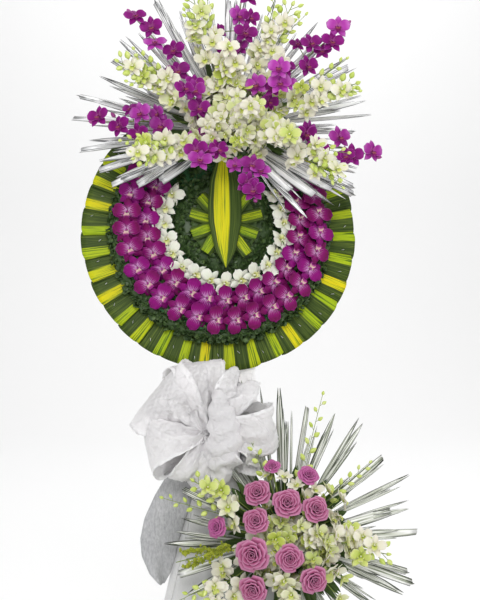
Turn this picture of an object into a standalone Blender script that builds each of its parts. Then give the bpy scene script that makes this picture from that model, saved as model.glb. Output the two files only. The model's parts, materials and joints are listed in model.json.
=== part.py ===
"""A standing funeral wreath: a leaf-edged flower disc on a cloth-wrapped tripod, with two sprays and a bow.

Metres, +Z up, the front faces -Y. The origin lies on the floor under the middle of the whole piece.
Flowers, leaves and sprays are laid out by seeded rules and fused into one body for each row or spray.
"""
import math
import random

import bmesh
import bpy
from mathutils import Matrix, Vector

# Gap left between two pieces that touch
GAP = 0.0003

# The axis of the stand, the disc, its lean, and the layers from the board forwards
AXIS = Vector((-0.0529, -0.0174, 0.0))
DISC_CENTRE = AXIS + Vector((0, 0.019, 1.12))
DISC_LEAN = math.radians(8)
BOARD_RADIUS = 0.235
BOARD_THICKNESS = 0.018
BATTEN_WIDTH = 0.040
BATTEN_DEPTH = 0.030
BATTEN_TOP = 0.230
BATTEN_FOOT = -0.405
COLLAR_INNER = 0.185
COLLAR_OUTER = 0.304
COLLAR_LEAVES = 34
COLLAR_STEP = 0.004
COLLAR_THICKNESS = 0.0018
FOAM_RADIUS = 0.222
FOAM_BACK = GAP + COLLAR_STEP + COLLAR_THICKNESS + 0.0006
FOAM_FRONT = 0.030
FOAM_SIDES = 24
PLUG_RADIUS = COLLAR_INNER - 0.001
OUTER_BED_LEAVES = 24
INNER_BED_LEAVES = 14
INNER_BED_RADIUS = 0.112
INNER_BED_HOLE = 0.024

# The three rows of blooms, whose middle lies a little above that of the disc: radius of the row, number
# and bloom radius
ROW_CENTRE = Vector((0.005, 0.013, 0))
ROW_START = math.radians(150)
ROW_TURN = math.radians(240)
OUTER_ROW = (0.2102, 22, 0.030)
INNER_ROW = (0.167, 19, 0.030)
WHITE_ROW = (0.1255, 17, 0.0255)
ROW_HEIGHT = 0.045
ROW_TILT = math.radians(15)
ROW_SHINGLE = math.radians(10)
CORE_WIDTH = 0.008
NOTCH = 0.50
CORE_SEGMENTS = 14

# The top spray, in the frame of the disc
TOP_BLOCK = Vector((0.018, 0.225, FOAM_FRONT + GAP))
TOP_BLOCK_RADIUS = 0.060
TOP_BLOCK_DEPTH = 0.055
BLOCK_SIDES = 16
TOP_BLADES = 36
# The stretch of azimuth, in degrees, where the top fan has no leaves
BARE_ARC = (222, 308)

# The stand
FEET = ((-0.200, -0.150), (0.200, -0.150), (0.0, 0.290))
LEG_RADIUS = 0.012
HUB_BOTTOM = 0.700
HUB_TOP = 0.770
HUB_RADIUS = 0.046
LEG_GATHER = 0.118

# The cloth round the legs
HEM = 0.015
SKIRT_TOP = 0.600
CLOTH = 0.003
SKIRT_OFFSET = LEG_RADIUS + 0.0008
HEM_WAVE = 0.010
BAND_LOW = 0.530
BAND_HIGH = 0.598
BAND_DEPTH = 0.013

# The bow, placed from the axis of the stand
KNOT_X = -0.042
KNOT_Z = 0.695
# Height and front of the strip of cloth, from behind the collar down over the hub
DRAPE_LINE = ((0.860, -0.0115), (0.814, -0.0170), (0.774, -0.0493), (0.690, -0.0493), (0.604, -0.0515))
TAIL_FRONT = -0.0757

# The lower spray
LOWER_CENTRE = Vector((0.1265, -0.0794, 0.462))
LOWER_LEAN = math.atan2((1 - LEG_GATHER) * -FEET[0][1], HUB_BOTTOM)
LOWER_BLOCK_RADIUS = 0.065
LOWER_BLOCK_DEPTH = 0.060
LOWER_BLADES = 28

# Stems and the plain holes that they stand in
STEM_RADIUS = 0.0020
HOLE_RADIUS = 0.0036
STEM_DEPTH = 0.012
STEM_RISE = 0.005
ROOT_SPREAD = 0.75

# Top sprays: name, colour, azimuth and polar angle in degrees, length, blooms, buds at the tip
TOP_SPRAYS = (
    ("top_purple_spray_right", "purple", -12, 83, 0.275, 5, 1),
    ("top_purple_spray_upper_right", "purple", 42, 83, 0.300, 5, 1),
    ("top_purple_spray_up", "purple", 85, 83, 0.290, 5, 1),
    ("top_purple_spray_upper_left", "purple", 132, 83, 0.280, 5, 1),
    ("top_purple_spray_left", "purple", 180, 83, 0.250, 4, 1),
    ("top_white_spray_low_right", "cream", -30, 64, 0.235, 4, 1),
    ("top_white_spray_right", "cream", 16, 66, 0.245, 4, 2),
    ("top_white_spray_high_right", "cream", 63, 66, 0.250, 4, 3),
    ("top_white_spray_high_left", "cream", 109, 66, 0.250, 4, 3),
    ("top_white_spray_left", "cream", 156, 66, 0.245, 4, 2),
    ("top_white_spray_low_left", "cream", 204, 64, 0.210, 4, 1),
    ("top_purple_front_low", "purple", -78, 58, 0.165, 3, 0),
    ("top_purple_front_low_left", "purple", 232, 44, 0.160, 3, 0),
    ("top_white_front_low_right", "cream", -26, 38, 0.165, 3, 0),
    ("top_purple_front_right", "purple", 42, 40, 0.170, 3, 0),
    ("top_white_front_up", "cream", 97, 40, 0.170, 3, 0),
    ("top_purple_front_left", "purple", 160, 38, 0.165, 3, 0),
    ("top_white_front", "cream", 30, 8, 0.150, 4, 0),
)

# Roses: name, place across and up from the middle of the lower block, and radius of the bloom
ROSES = (
    ("rose_upper_left", -0.070, 0.095, 0.0275),
    ("rose_upper_middle", -0.014, 0.073, 0.0295),
    ("rose_upper_right", 0.043, 0.060, 0.0270),
    ("rose_top_right", 0.037, 0.128, 0.0225),
    ("rose_top", -0.034, 0.149, 0.0170),
    ("rose_left", -0.077, 0.040, 0.0260),
    ("rose_far_left", -0.150, 0.029, 0.0215),
    ("rose_middle_left", -0.085, -0.025, 0.0335),
    ("rose_middle", -0.014, -0.033, 0.0280),
    ("rose_lower_right", 0.035, -0.077, 0.0280),
    ("rose_lower_left", -0.083, -0.092, 0.0280),
)
ROSE_DOME = 0.205
ROSE_DOME_CENTRE = -0.100

# Small sprays of the lower arrangement, as the top sprays are given
LOWER_SPRAYS = (
    ("lower_white_spray_left", "cream", 146, 74, 0.200, 3, 2),
    ("lower_white_spray_low_left", "cream", 211, 76, 0.215, 3, 2),
    ("lower_white_spray_right", "cream", -6, 62, 0.165, 3, 3),
    ("lower_white_spray_bottom", "cream", -86, 72, 0.190, 3, 2),
    ("lower_goldenrod_spray", "yellow", 186, 71, 0.205, 0, 9),
)

# Colours, roughness and metallic value of each finish
FINISHES = {
    "purple": ((0.32, 0.004, 0.22), 0.55, 0.0),
    "cream": ((0.82, 0.84, 0.62), 0.5, 0.0),
    "rose": ((0.46, 0.15, 0.27), 0.6, 0.0),
    "yellow": ((0.55, 0.50, 0.06), 0.7, 0.0),
    "variegated": ((0.10, 0.22, 0.02), 0.4, 0.0),
    "bed": ((0.02, 0.06, 0.012), 0.6, 0.0),
    "silver": ((0.62, 0.64, 0.64), 0.35, 0.8),
    "foam": ((0.03, 0.12, 0.04), 0.9, 0.0),
    "wood": ((0.35, 0.22, 0.11), 0.65, 0.0),
    "cloth": ((0.80, 0.79, 0.80), 0.8, 0.0),
}


def clear_scene():
    """Removes whatever the scene holds."""
    for old in list(bpy.data.objects):
        bpy.data.objects.remove(old, do_unlink=True)


def finish(name):
    """The material of one finish, made once."""
    if name in bpy.data.materials:
        return bpy.data.materials[name]
    colour, roughness, metallic = FINISHES[name]
    made = bpy.data.materials.new(name)
    made.use_nodes = True
    shader = made.node_tree.nodes["Principled BSDF"]
    shader.inputs["Base Color"].default_value = (*colour, 1.0)
    shader.inputs["Roughness"].default_value = roughness
    shader.inputs["Metallic"].default_value = metallic
    return made


def moved(shape, matrix):
    """A copy of a shape, carried by a matrix."""
    points, faces = shape
    return [matrix @ point for point in points], faces


def aimed(place, forward, up):
    """The matrix that sets local +Z along forward and local +Y near up, at a place."""
    z = forward.normalized()
    x = up.cross(z).normalized()
    matrix = Matrix((x, z.cross(x), z)).transposed().to_4x4()
    matrix.translation = place
    return matrix


def circle(radius, sides, centre=Vector((0, 0, 0))):
    """The corners of a level regular polygon."""
    angles = [math.tau * i / sides for i in range(sides)]
    return [centre + Vector((radius * math.cos(a), radius * math.sin(a), 0)) for a in angles]


def wall(low, high, other_way=None):
    """Triangles between two loops of the same count, or between a loop and a tip.

    From the side numbered other_way on, the four-cornered faces are split along their other diagonal.
    """
    faces = []
    count = max(len(low), len(high))
    for i in range(count):
        j = (i + 1) % count
        if len(low) == 1:
            faces.append((low[0], high[j], high[i]))
        elif len(high) == 1:
            faces.append((low[i], low[j], high[0]))
        elif other_way is not None and i >= other_way:
            faces += [(low[i], low[j], high[i]), (low[j], high[j], high[i])]
        else:
            faces += [(low[i], low[j], high[j]), (low[i], high[j], high[i])]
    return faces


def numbered(sections):
    """All points of the sections in one list, and the numbers of each section's own."""
    points, loops = [], []
    for section in sections:
        loops.append(list(range(len(points), len(points) + len(section))))
        points.extend(section)
    return points, loops


def caps(loops):
    """The flat ends over the first and the last loop; a tip needs none."""
    first, last = loops[0], loops[-1]
    faces = [(first[0], first[i + 1], first[i]) for i in range(1, len(first) - 1)]
    return faces + [(last[0], last[i], last[i + 1]) for i in range(1, len(last) - 1)]


def loft(sections):
    """One body through closed sections; one of a single point is a tip, the others are capped."""
    points, loops = numbered(sections)
    faces = caps(loops)
    for low, high in zip(loops, loops[1:]):
        faces += wall(low, high)
    return points, faces


def ring_loft(sections):
    """One ring-shaped body through sections that run round in a circle."""
    points, loops = numbered(sections)
    faces = []
    for low, high in zip(loops, loops[1:] + loops[:1]):
        faces += wall(low, high)
    return points, faces


def tube(path, radius, sides):
    """A round stem along a path, with flat ends."""
    sections = []
    side = (path[1] - path[0]).orthogonal().normalized()
    for i, place in enumerate(path):
        along = (path[min(i + 1, len(path) - 1)] - path[max(i - 1, 0)]).normalized()
        side = (side - along * side.dot(along)).normalized()
        matrix = aimed(place, along, side)
        sections.append([matrix @ corner for corner in circle(radius, sides)])
    return loft(sections)


def blade(stations):
    """A folded leaf along +Y, its two faces split alike.

    A station is (along, half width, fold, half thickness, rise).
    """
    sections = []
    for along, half, fold, thick, rise in stations:
        if half == 0:
            sections.append([Vector((0, along, rise))])
            continue
        left, right = Vector((-half, along, rise)), Vector((half, along, rise))
        ridge = Vector((0, along, rise + fold))
        lift = Vector((0, 0, thick))
        sections.append([left, ridge - lift, right, ridge + lift])
    points, loops = numbered(sections)
    faces = caps(loops)
    for low, high in zip(loops, loops[1:]):
        faces += wall(low, high, 2)
    return points, faces


def bud(length, radius):
    """A closed bud along +Z."""
    middle = circle(radius, 4, Vector((0, 0, length * 0.6)))
    return loft([[Vector((0, 0, 0))], middle, [Vector((0, 0, length))]])


def bloom(radius, apex):
    """An orchid bloom that faces +Z: two broad petals, three sepals, a lip, and a stalk to the apex."""
    lobes = ((14, 22, 1.0, 0.11), (90, 0, 0.98, -0.04), (166, 22, 1.0, 0.11),
             (232, 0, 0.95, -0.06), (308, 0, 0.95, -0.06))
    outline = []
    for k, (heading, spread, reach, lift) in enumerate(lobes):
        for turn in ((-spread, spread) if spread else (0,)):
            outline.append((heading + turn, reach, lift))
        after = lobes[(k + 1) % len(lobes)][0] + (360 if k == len(lobes) - 1 else 0)
        outline.append(((heading + after) / 2, NOTCH, 0.0))

    def ring(parts, grow=1.0):
        return [Vector((grow * r * radius * math.cos(math.radians(a)),
                        grow * r * radius * math.sin(math.radians(a)), z * radius)) for a, r, z in parts]

    thirds = (30, 150, 270)
    front = ring([(a, 0.17, 0.08) for a in thirds]) + [Vector((0, -0.16 * radius, 0.42 * radius))]
    back = ring([(a, 0.15, -0.13) for a in thirds]) + [apex]
    points = ring(outline) + front + back
    count = len(outline)

    def nearest(angle):
        gaps = [abs((angle - third + 180) % 360 - 180) for third in thirds]
        return gaps.index(min(gaps))

    faces = []
    for base, flip in ((count, False), (count + 4, True)):
        side = []
        for i in range(count):
            j = (i + 1) % count
            here, there = nearest(outline[i][0]), nearest(outline[j][0])
            side.append((i, j, base + here))
            if here != there:
                side.append((j, base + there, base + here))
        side += [(base + k, base + (k + 1) % 3, base + 3) for k in range(3)]
        faces += [face[::-1] for face in side] if flip else side
    return points, faces


def rose(radius):
    """A rose that faces +Z: three whorls of petals, each rim standing over the groove below it."""
    profile = ((0.98, 0.02, 0.12, 0), (0.68, 0.14, 0.05, 0), (0.76, 0.46, 0.11, 36), (0.42, 0.36, 0.04, 36),
               (0.46, 0.76, 0.09, 0))
    sides = 10
    sections = [[Vector((0, 0, -0.45 * radius))]]
    for reach, height, wave, phase in profile:
        loop = []
        for i in range(sides):
            angle = math.tau * i / sides
            grow = reach * (1 + wave * math.cos(5 * (angle - math.radians(phase))))
            loop.append(Vector((grow * math.cos(angle), grow * math.sin(angle), height)) * radius)
        sections.append(loop)
    sections.append([Vector((0, 0, 0.62 * radius))])
    return loft(sections)


def prism(radius, low, high, sides, centre=Vector((0, 0, 0))):
    """A flat-ended round block between two heights."""
    ends = [circle(radius, sides, Vector((centre.x, centre.y, height))) for height in (low, high)]
    return loft(ends)


def band(inner, outer, low, high, segments, start=0.0, turn=math.tau):
    """A flat ring, or an arc of one with closed ends."""
    whole = turn >= math.tau
    steps = segments if whole else segments + 1
    sections = []
    for i in range(steps):
        angle = start + turn * i / segments
        away = Vector((math.cos(angle), math.sin(angle), 0))
        corners = ((inner, low), (inner, high), (outer, high), (outer, low))
        sections.append([away * reach + Vector((0, 0, height)) for reach, height in corners])
    return ring_loft(sections) if whole else loft(sections)


def panel(rows, depth):
    """A cloth solid: a grid of points, and the same grid set back by each point's own depth vector."""
    high, wide = len(rows), len(rows[0])
    front = [point for row in rows for point in row]
    rear = [point + shift for row, shifts in zip(rows, depth) for point, shift in zip(row, shifts)]
    faces = []
    back = len(front)
    for i in range(high - 1):
        for j in range(wide - 1):
            a, b = i * wide + j, i * wide + j + 1
            c, d = a + wide, b + wide
            faces += [(a, b, d), (a, d, c), (back + a, back + d, back + b), (back + a, back + c, back + d)]
    rim = list(range(wide)) + [i * wide + wide - 1 for i in range(1, high)]
    rim += [(high - 1) * wide + j for j in range(wide - 2, -1, -1)]
    rim += [i * wide for i in range(high - 2, 0, -1)]
    for a, b in zip(rim, rim[1:] + rim[:1]):
        faces += [(a, back + b, b), (a, back + a, back + b)]
    return front + rear, faces


def mesh_of(name, shape):
    """A mesh of a shape, with its faces pointing out."""
    points, faces = shape
    mesh = bpy.data.meshes.new(name)
    mesh.from_pydata([tuple(point) for point in points], [], faces)
    work = bmesh.new()
    work.from_mesh(mesh)
    if work.calc_volume(signed=True) < 0:
        bmesh.ops.reverse_faces(work, faces=work.faces)
    work.to_mesh(mesh)
    work.free()
    return mesh


def placed(name, mesh, kind, parent):
    """An object for a mesh, with its finish, under its frame."""
    item = bpy.data.objects.new(name, mesh)
    bpy.context.scene.collection.objects.link(item)
    mesh.materials.clear()
    mesh.materials.append(finish(kind))
    item.parent = parent
    return item


def body(name, shape, kind, parent):
    """A piece made of one shape."""
    return placed(name, mesh_of(name, shape), kind, parent)


def keep_main_body(mesh):
    """Drops loose scraps and fills sealed hollows, by keeping the largest connected surface."""
    work = bmesh.new()
    work.from_mesh(mesh)
    left = set(work.faces)
    groups = []
    while left:
        group, edge = set(), [left.pop()]
        while edge:
            face = edge.pop()
            group.add(face)
            near = {other for line in face.edges for other in line.link_faces if other in left}
            left -= near
            edge += near
        groups.append(group)
    groups.sort(key=len)
    scraps = [face for group in groups[:-1] for face in group]
    bmesh.ops.delete(work, geom=scraps, context="FACES")
    bmesh.ops.dissolve_degenerate(work, dist=0.000002, edges=work.edges)
    bmesh.ops.triangulate(work, faces=work.faces)
    work.to_mesh(mesh)
    work.free()


def is_closed(mesh):
    """Whether every edge of a mesh lies between exactly two faces."""
    work = bmesh.new()
    work.from_mesh(mesh)
    closed = all(len(edge.link_faces) == 2 for edge in work.edges)
    work.free()
    return closed


def fused(name, shapes, kind, parent):
    """A piece whose shapes are joined into one body."""
    pieces = bpy.data.collections.new(name + "_pieces")
    bpy.context.scene.collection.children.link(pieces)
    for shape in shapes[1:]:
        pieces.objects.link(bpy.data.objects.new(name + "_piece", mesh_of(name + "_piece", shape)))
    base = placed(name, mesh_of(name, shapes[0]), kind, None)
    union = base.modifiers.new("Fuse", "BOOLEAN")
    union.operation = "UNION"
    union.operand_type = "COLLECTION"
    union.collection = pieces
    for solver in ("EXACT", "MANIFOLD"):
        union.solver = solver
        whole = bpy.data.meshes.new_from_object(base.evaluated_get(bpy.context.evaluated_depsgraph_get()))
        keep_main_body(whole)
        if is_closed(whole):
            break
    base.modifiers.remove(union)
    for piece in list(pieces.objects):
        bpy.data.objects.remove(piece, do_unlink=True)
    bpy.data.collections.remove(pieces)
    whole.materials.clear()
    whole.materials.append(finish(kind))
    base.data = whole
    base.parent = parent
    return base


def drilled(item, cutters, frame):
    """Cuts holes into a piece, each with its own guide, hidden from renders."""
    for number, shape in enumerate(cutters):
        cutter = placed(f"{item.name}_hole_{number}", mesh_of("hole", shape), "foam", frame)
        cutter.hide_render = True
        cutter.display_type = "WIRE"
        cut = item.modifiers.new(f"Hole {number}", "BOOLEAN")
        cut.operation = "DIFFERENCE"
        cut.object = cutter
        cut.solver = "EXACT"


def empty(name, place, lean):
    """A frame whose local +Z faces forwards and leans back, with +Y up along the lean."""
    frame = bpy.data.objects.new(name, None)
    bpy.context.scene.collection.objects.link(frame)
    frame.location = place
    frame.rotation_euler = (math.pi / 2 - lean, 0, 0)
    return frame


def polar(azimuth, angle):
    """The unit vector at an azimuth in the face plane and an angle from straight forwards, in degrees."""
    a, b = math.radians(azimuth), math.radians(angle)
    return Vector((math.sin(b) * math.cos(a), math.sin(b) * math.sin(a), math.cos(b)))


def stem_path(root, direction, length, droop=0.012, parts=3):
    """A stem that stands straight in its hole, then leaves along a direction with a little droop."""
    bend = root + Vector((0, 0, STEM_RISE))
    path = [root - Vector((0, 0, STEM_DEPTH)), bend]
    for i in range(1, parts + 1):
        share = i / parts
        path.append(bend + direction * length * share - Vector((0, droop * share * share, 0)))
    return path


def along_path(path, share):
    """The point at a share of the way along the free part of a stem."""
    runs = [(b - a).length for a, b in zip(path[1:], path[2:])]
    left = share * sum(runs)
    for (a, b), run in zip(zip(path[1:], path[2:]), runs):
        if left <= run:
            return a.lerp(b, left / run)
        left -= run
    return path[-1]


def spray(entry, block, block_radius, depth):
    """The stem, blooms and buds of one spray, and the root of its stem on the block."""
    name, _, azimuth, angle, length, blooms, buds = entry
    rng = random.Random(name)
    bloom_side, above_stem = 0.013, 0.016
    direction = polar(azimuth, angle)
    flat = Vector((direction.x, direction.y, 0))
    root = block + Vector((0, 0, depth)) + flat * block_radius * ROOT_SPREAD
    path = stem_path(root, direction, length)
    across = direction.cross(Vector((0, 0, 1)))
    across = across.normalized() if across.length > 0.2 else Vector((1, 0, 0))
    outward = across.cross(direction).normalized()
    shapes = [tube(path, STEM_RADIUS, 4)]
    first = 0.40 if length > 0.2 else 0.52
    last = 0.93 if buds < 2 else 0.84
    for i in range(blooms):
        share = first + (last - first) * i / max(blooms - 1, 1)
        hold = along_path(path, share)
        look = (outward * 0.55 + direction * 0.35 + Vector((0, 0, 0.5))).normalized()
        look = (look + Vector([rng.uniform(-0.12, 0.12) for _ in range(3)])).normalized()
        side = across * (bloom_side if i % 2 else -bloom_side) * (0.4 if i == blooms - 1 else 1.0)
        place = hold + look * above_stem + side
        matrix = aimed(place, look, Vector((rng.uniform(-0.3, 0.3), 1, 0)))
        apex = matrix.inverted() @ (hold - (place - hold).normalized() * 0.002)
        size = rng.uniform(0.0285, 0.0315) * (1.0 - 0.12 * share)
        shapes.append(moved(bloom(size, apex), matrix))
    for i in range(buds):
        share = 1.0 - 0.16 * i / max(buds, 1)
        hold = along_path(path, share)
        way = direction + across * (0 if i == 0 else (0.9 if i % 2 else -0.9)) + Vector((0, 0, 0.25))
        small = 0.0045 + 0.0006 * i
        shapes.append(moved(bud(0.016 + 0.001 * i, small), aimed(hold - way * 0.002, way, across)))
    return shapes, root


def goldenrod(entry, block, block_radius, depth):
    """A feathery spray: side twigs that carry pointed tufts all the way up the stem."""
    name, _, azimuth, angle, length, _, tufts = entry
    direction = polar(azimuth, angle)
    root = block + Vector((0, 0, depth)) + Vector((direction.x, direction.y, 0)) * block_radius * ROOT_SPREAD
    path = stem_path(root, direction, length)
    across = direction.cross(Vector((0, 0, 1))).normalized()
    shapes = [tube(path, STEM_RADIUS, 4)]
    for i in range(tufts):
        share = 0.45 + 0.55 * i / (tufts - 1)
        hold = along_path(path, share)
        way = direction * 0.9 + across * (0.8 if i % 2 else -0.8) + Vector((0, 0, 0.35 if i % 3 else -0.1))
        size = 0.030 - 0.010 * share
        shapes.append(moved(bud(size, 0.0055), aimed(hold - way.normalized() * 0.002, way, across)))
    return shapes, root


def hole(root):
    """The cutter of the plain hole that a stem stands in."""
    low, high = root.z - STEM_DEPTH - GAP, root.z + 0.002
    return prism(HOLE_RADIUS, low, high, 4, root)


def silver_fan(seed, count, block, block_radius, low, high, reach, slope, skipped):
    """Silvered folded leaves that radiate from a ring of their own bases round the foam block."""
    rng = random.Random(seed)
    centre = Vector((block.x, block.y, 0))
    inner, outer = block_radius + GAP, block_radius + 0.010
    bases = band(inner, outer, block.z + low, block.z + high, BLOCK_SIDES)
    shapes = [moved(bases, Matrix.Translation(centre))]
    middle = block.z + (low + high) / 2
    for i in range(count):
        azimuth = 360 * (i + rng.uniform(-0.25, 0.25)) / count
        if skipped and skipped[0] < azimuth < skipped[1]:
            continue
        tilt = math.radians(slope(azimuth) + rng.uniform(-2.5, 2.5))
        a = math.radians(azimuth)
        way = Vector((math.cos(a) * math.cos(tilt), math.sin(a) * math.cos(tilt), math.sin(tilt)))
        length = reach(azimuth) * rng.uniform(0.80, 1.0) - block_radius
        half = rng.uniform(0.006, 0.010)
        cut = i % 5 == 0
        last = (length, half * 0.8, 0.002, 0.0008, 0) if cut else (length, 0, 0, 0, 0)
        stations = ((0, 0, 0, 0, 0), (length * 0.55, half, 0.004, 0.0009, 0), last)
        face = Vector((0, 0, 1)) + Vector([rng.uniform(-0.4, 0.4) for _ in range(3)])
        start = centre + Vector((math.cos(a), math.sin(a), 0)) * (block_radius + 0.003)
        start.z = middle + rng.uniform(-0.2, 0.2) * (high - low)
        side = way.cross(face).normalized()
        matrix = Matrix((side, way, side.cross(way))).transposed().to_4x4()
        matrix.translation = start
        shapes.append(moved(blade(stations), matrix))
    return shapes


def collar():
    """The collar of folded leaves, each lying on the next, as one stepped and scalloped ring."""
    rng = random.Random("collar")
    columns = ((0.0, 0.0, 0.982), (0.88, 1.0, 1.0))
    sections = []
    for leaf in range(COLLAR_LEAVES):
        lift = rng.uniform(0.0, 0.001)
        grow = rng.uniform(0.990, 1.006)
        for share, rise, reach in columns:
            angle = math.tau * (leaf + share) / COLLAR_LEAVES
            away = Vector((math.cos(angle), math.sin(angle), 0))
            low = GAP + COLLAR_STEP * rise
            edge = low + lift
            outer = COLLAR_OUTER * reach * grow
            loop = ((COLLAR_INNER, low), (COLLAR_INNER, low + COLLAR_THICKNESS),
                    (outer, edge + COLLAR_THICKNESS), (outer, edge))
            sections.append([away * radius + Vector((0, 0, height)) for radius, height in loop])
    return ring_loft(sections)


def leafy_ring(seed, leaves, base, tiers):
    """A ring whose leaves are raised from it by a rule, tier below tier, tips and notches in turn.

    The base gives the ring's inner radius, low and high, and the corner that closes it below. A tier is
    (tip radius, notch radius, tip height, groove radius, groove height).
    """
    rng = random.Random(seed)
    inner, low, high, close = base
    sections = []
    columns = 2 * leaves
    for column in range(columns):
        angle = math.tau * column / columns
        away = Vector((math.cos(angle), math.sin(angle), 0))
        loop = [(inner, low), (inner, high)]
        for number, (tip, notch, height, groove, sink) in enumerate(tiers):
            pointed = (column + number) % 2 == 0
            reach = tip + rng.uniform(-0.003, 0.002) if pointed else notch
            rise = height + rng.uniform(-0.001, 0.001) if pointed else height - 0.002
            loop += [(reach, rise), (groove, sink)]
        loop[-1] = close
        sections.append([away * radius + Vector((0, 0, height)) for radius, height in loop])
    return ring_loft(sections)


def outer_bed():
    """Small dark leaves that stand out all round the side of the foam disc."""
    inner = FOAM_RADIUS + GAP
    base = (inner, FOAM_BACK, 0.0290, (0.2290, FOAM_BACK))
    tiers = ((0.2420, 0.2310, 0.0285, 0.2290, 0.0225), (0.2480, 0.2330, 0.0160, 0, 0))
    return leafy_ring("outer bed", OUTER_BED_LEAVES, base, tiers)


def inner_bed():
    """Small dark leaves over the middle of the foam disc, in three rings of overlapping tips."""
    low = FOAM_FRONT + GAP
    base = (INNER_BED_HOLE, low, 0.0400, (0.0960, low))
    tiers = ((0.0540, 0.0380, 0.0470, 0.0420, 0.0350), (0.0830, 0.0640, 0.0460, 0.0690, 0.0345),
             (INNER_BED_RADIUS, 0.0930, 0.0430, 0, 0))
    return leafy_ring("inner bed", INNER_BED_LEAVES, base, tiers)


def bloom_row(row, seed):
    """A row of orchid blooms pinned on its strip, each leaning out and lying over the next."""
    radius, count, size = row
    rng = random.Random(seed)
    low = FOAM_FRONT + GAP
    margin = 0.012 / radius
    core = band(radius - CORE_WIDTH / 2, radius + CORE_WIDTH / 2, low, ROW_HEIGHT - 0.006, CORE_SEGMENTS,
                ROW_START - margin, ROW_TURN + 2 * margin)
    shapes = [core]
    for i in range(count):
        angle = ROW_START + ROW_TURN * i / (count - 1) + rng.uniform(-0.012, 0.012)
        away = Vector((math.cos(angle), math.sin(angle), 0))
        onward = Vector((-math.sin(angle), math.cos(angle), 0))
        look = Vector((0, 0, 1)) + away * math.tan(ROW_TILT + rng.uniform(-0.05, 0.05))
        look += onward * math.tan(ROW_SHINGLE + rng.uniform(-0.05, 0.05))
        place = away * (radius + rng.uniform(-0.0015, 0.0015)) + Vector((0, 0, ROW_HEIGHT))
        matrix = aimed(place, look, -onward + away * rng.uniform(-0.15, 0.15))
        apex = matrix.inverted() @ (away * radius + Vector((0, 0, ROW_HEIGHT - 0.010)))
        shapes.append(moved(bloom(size * rng.uniform(0.96, 1.03), apex), matrix))
    return shapes


def foam_disc():
    """The disc of foam, with a step at its back that fills the hole of the collar down to the board."""
    steps = ((PLUG_RADIUS, GAP), (PLUG_RADIUS, FOAM_BACK),
             (FOAM_RADIUS, FOAM_BACK), (FOAM_RADIUS, FOAM_FRONT))
    return loft([circle(radius, FOAM_SIDES, Vector((0, 0, height))) for radius, height in steps])


def leaf_star():
    """Short folded leaves that radiate from the middle of the disc."""
    rng = random.Random("leaf star")
    shapes = [prism(0.016, FOAM_FRONT + GAP, 0.057, 8)]
    for azimuth in (14, 50, 132, 164, 200, 236, 306, 340):
        a = math.radians(azimuth)
        lift = math.radians(5 + rng.uniform(-1, 1))
        way = Vector((math.cos(a) * math.cos(lift), math.sin(a) * math.cos(lift), math.sin(lift)))
        across = way.cross(Vector((0, 0, 1))).normalized()
        matrix = Matrix((across, way, across.cross(way))).transposed().to_4x4()
        matrix.translation = Vector((0.008 * math.cos(a), 0.008 * math.sin(a), 0.0525))
        length = rng.uniform(0.066, 0.078)
        stations = ((0, 0, 0, 0, 0), (length * 0.6, 0.0125, 0.003, 0.0009, 0),
                    (length, 0.005, 0.001, 0.0008, 0))
        shapes.append(moved(blade(stations), matrix))
    return shapes


def hanging_leaf():
    """The broad folded leaf that hangs from the top block over the middle of the disc."""
    top = TOP_BLOCK.y - TOP_BLOCK_RADIUS - GAP
    foot = -0.088
    length = top - foot
    stations = [(0, 0.012, 0.002, 0.0012, 0.072), (length * 0.25, 0.032, 0.006, 0.0010, 0.070),
                (length * 0.6, 0.036, 0.008, 0.0010, 0.066), (length * 0.85, 0.022, 0.006, 0.0010, 0.068),
                (length, 0, 0, 0, 0.072)]
    matrix = Matrix.Translation((TOP_BLOCK.x - 0.013, top, 0)) @ Matrix.Rotation(math.pi, 4, "Z")
    return moved(blade(stations), matrix)


def leg_share(height):
    """How far from the axis a leg stands at a height, as a share of its foot's distance."""
    return 1 - (1 - LEG_GATHER) * height / HUB_BOTTOM


def leg(foot):
    """A turned leg whose ends are level, so that it stands flat."""
    sides = 10
    ends = []
    for height in (0.0, HUB_BOTTOM - GAP):
        share = leg_share(height)
        ends.append(circle(LEG_RADIUS, sides, Vector((foot[0] * share, foot[1] * share, height))))
    return loft(ends)


def gore_path(first, second, height, offset, wave, count=5):
    """Points round the outside of two neighbouring legs at one height, as the cloth runs."""
    share = leg_share(height)
    a, b = Vector((*FEET[first], 0)), Vector((*FEET[second], 0))
    side = (b - a).normalized()
    normal = Vector((side.y, -side.x, 0))
    points = []
    for foot, turns in ((a, (0.94, 0.47, 0.0)), (b, (0.0, 0.47, 0.94))):
        centre = foot * share
        corner = foot.normalized()
        for turn in turns:
            away = (normal * (1 - turn) + corner * turn).normalized()
            points.append(centre + away * offset)
    middle = []
    for i in range(1, count):
        part = i / count
        swell = wave * (0.5 - 0.5 * math.cos(math.tau * part * 2)) * (1 if i % 2 else 0.6)
        middle.append(points[2].lerp(points[3], part) + normal * swell)
    path = points[:3] + middle + points[3:]
    return [Vector((point.x, point.y, height)) for point in path]


def gore(first, second):
    """One cloth panel of the skirt, from the band down to the hem, between two legs."""
    levels = 5
    rows, depth = [], []
    for i in range(levels):
        height = SKIRT_TOP + (HEM - SKIRT_TOP) * i / (levels - 1)
        wave = HEM_WAVE * (1 - height / SKIRT_TOP)
        outer = gore_path(first, second, height, SKIRT_OFFSET + CLOTH, wave)
        inner = gore_path(first, second, height, SKIRT_OFFSET, wave)
        rows.append(outer)
        depth.append([rear - front for front, rear in zip(outer, inner)])
    return panel(rows, depth)


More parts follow.
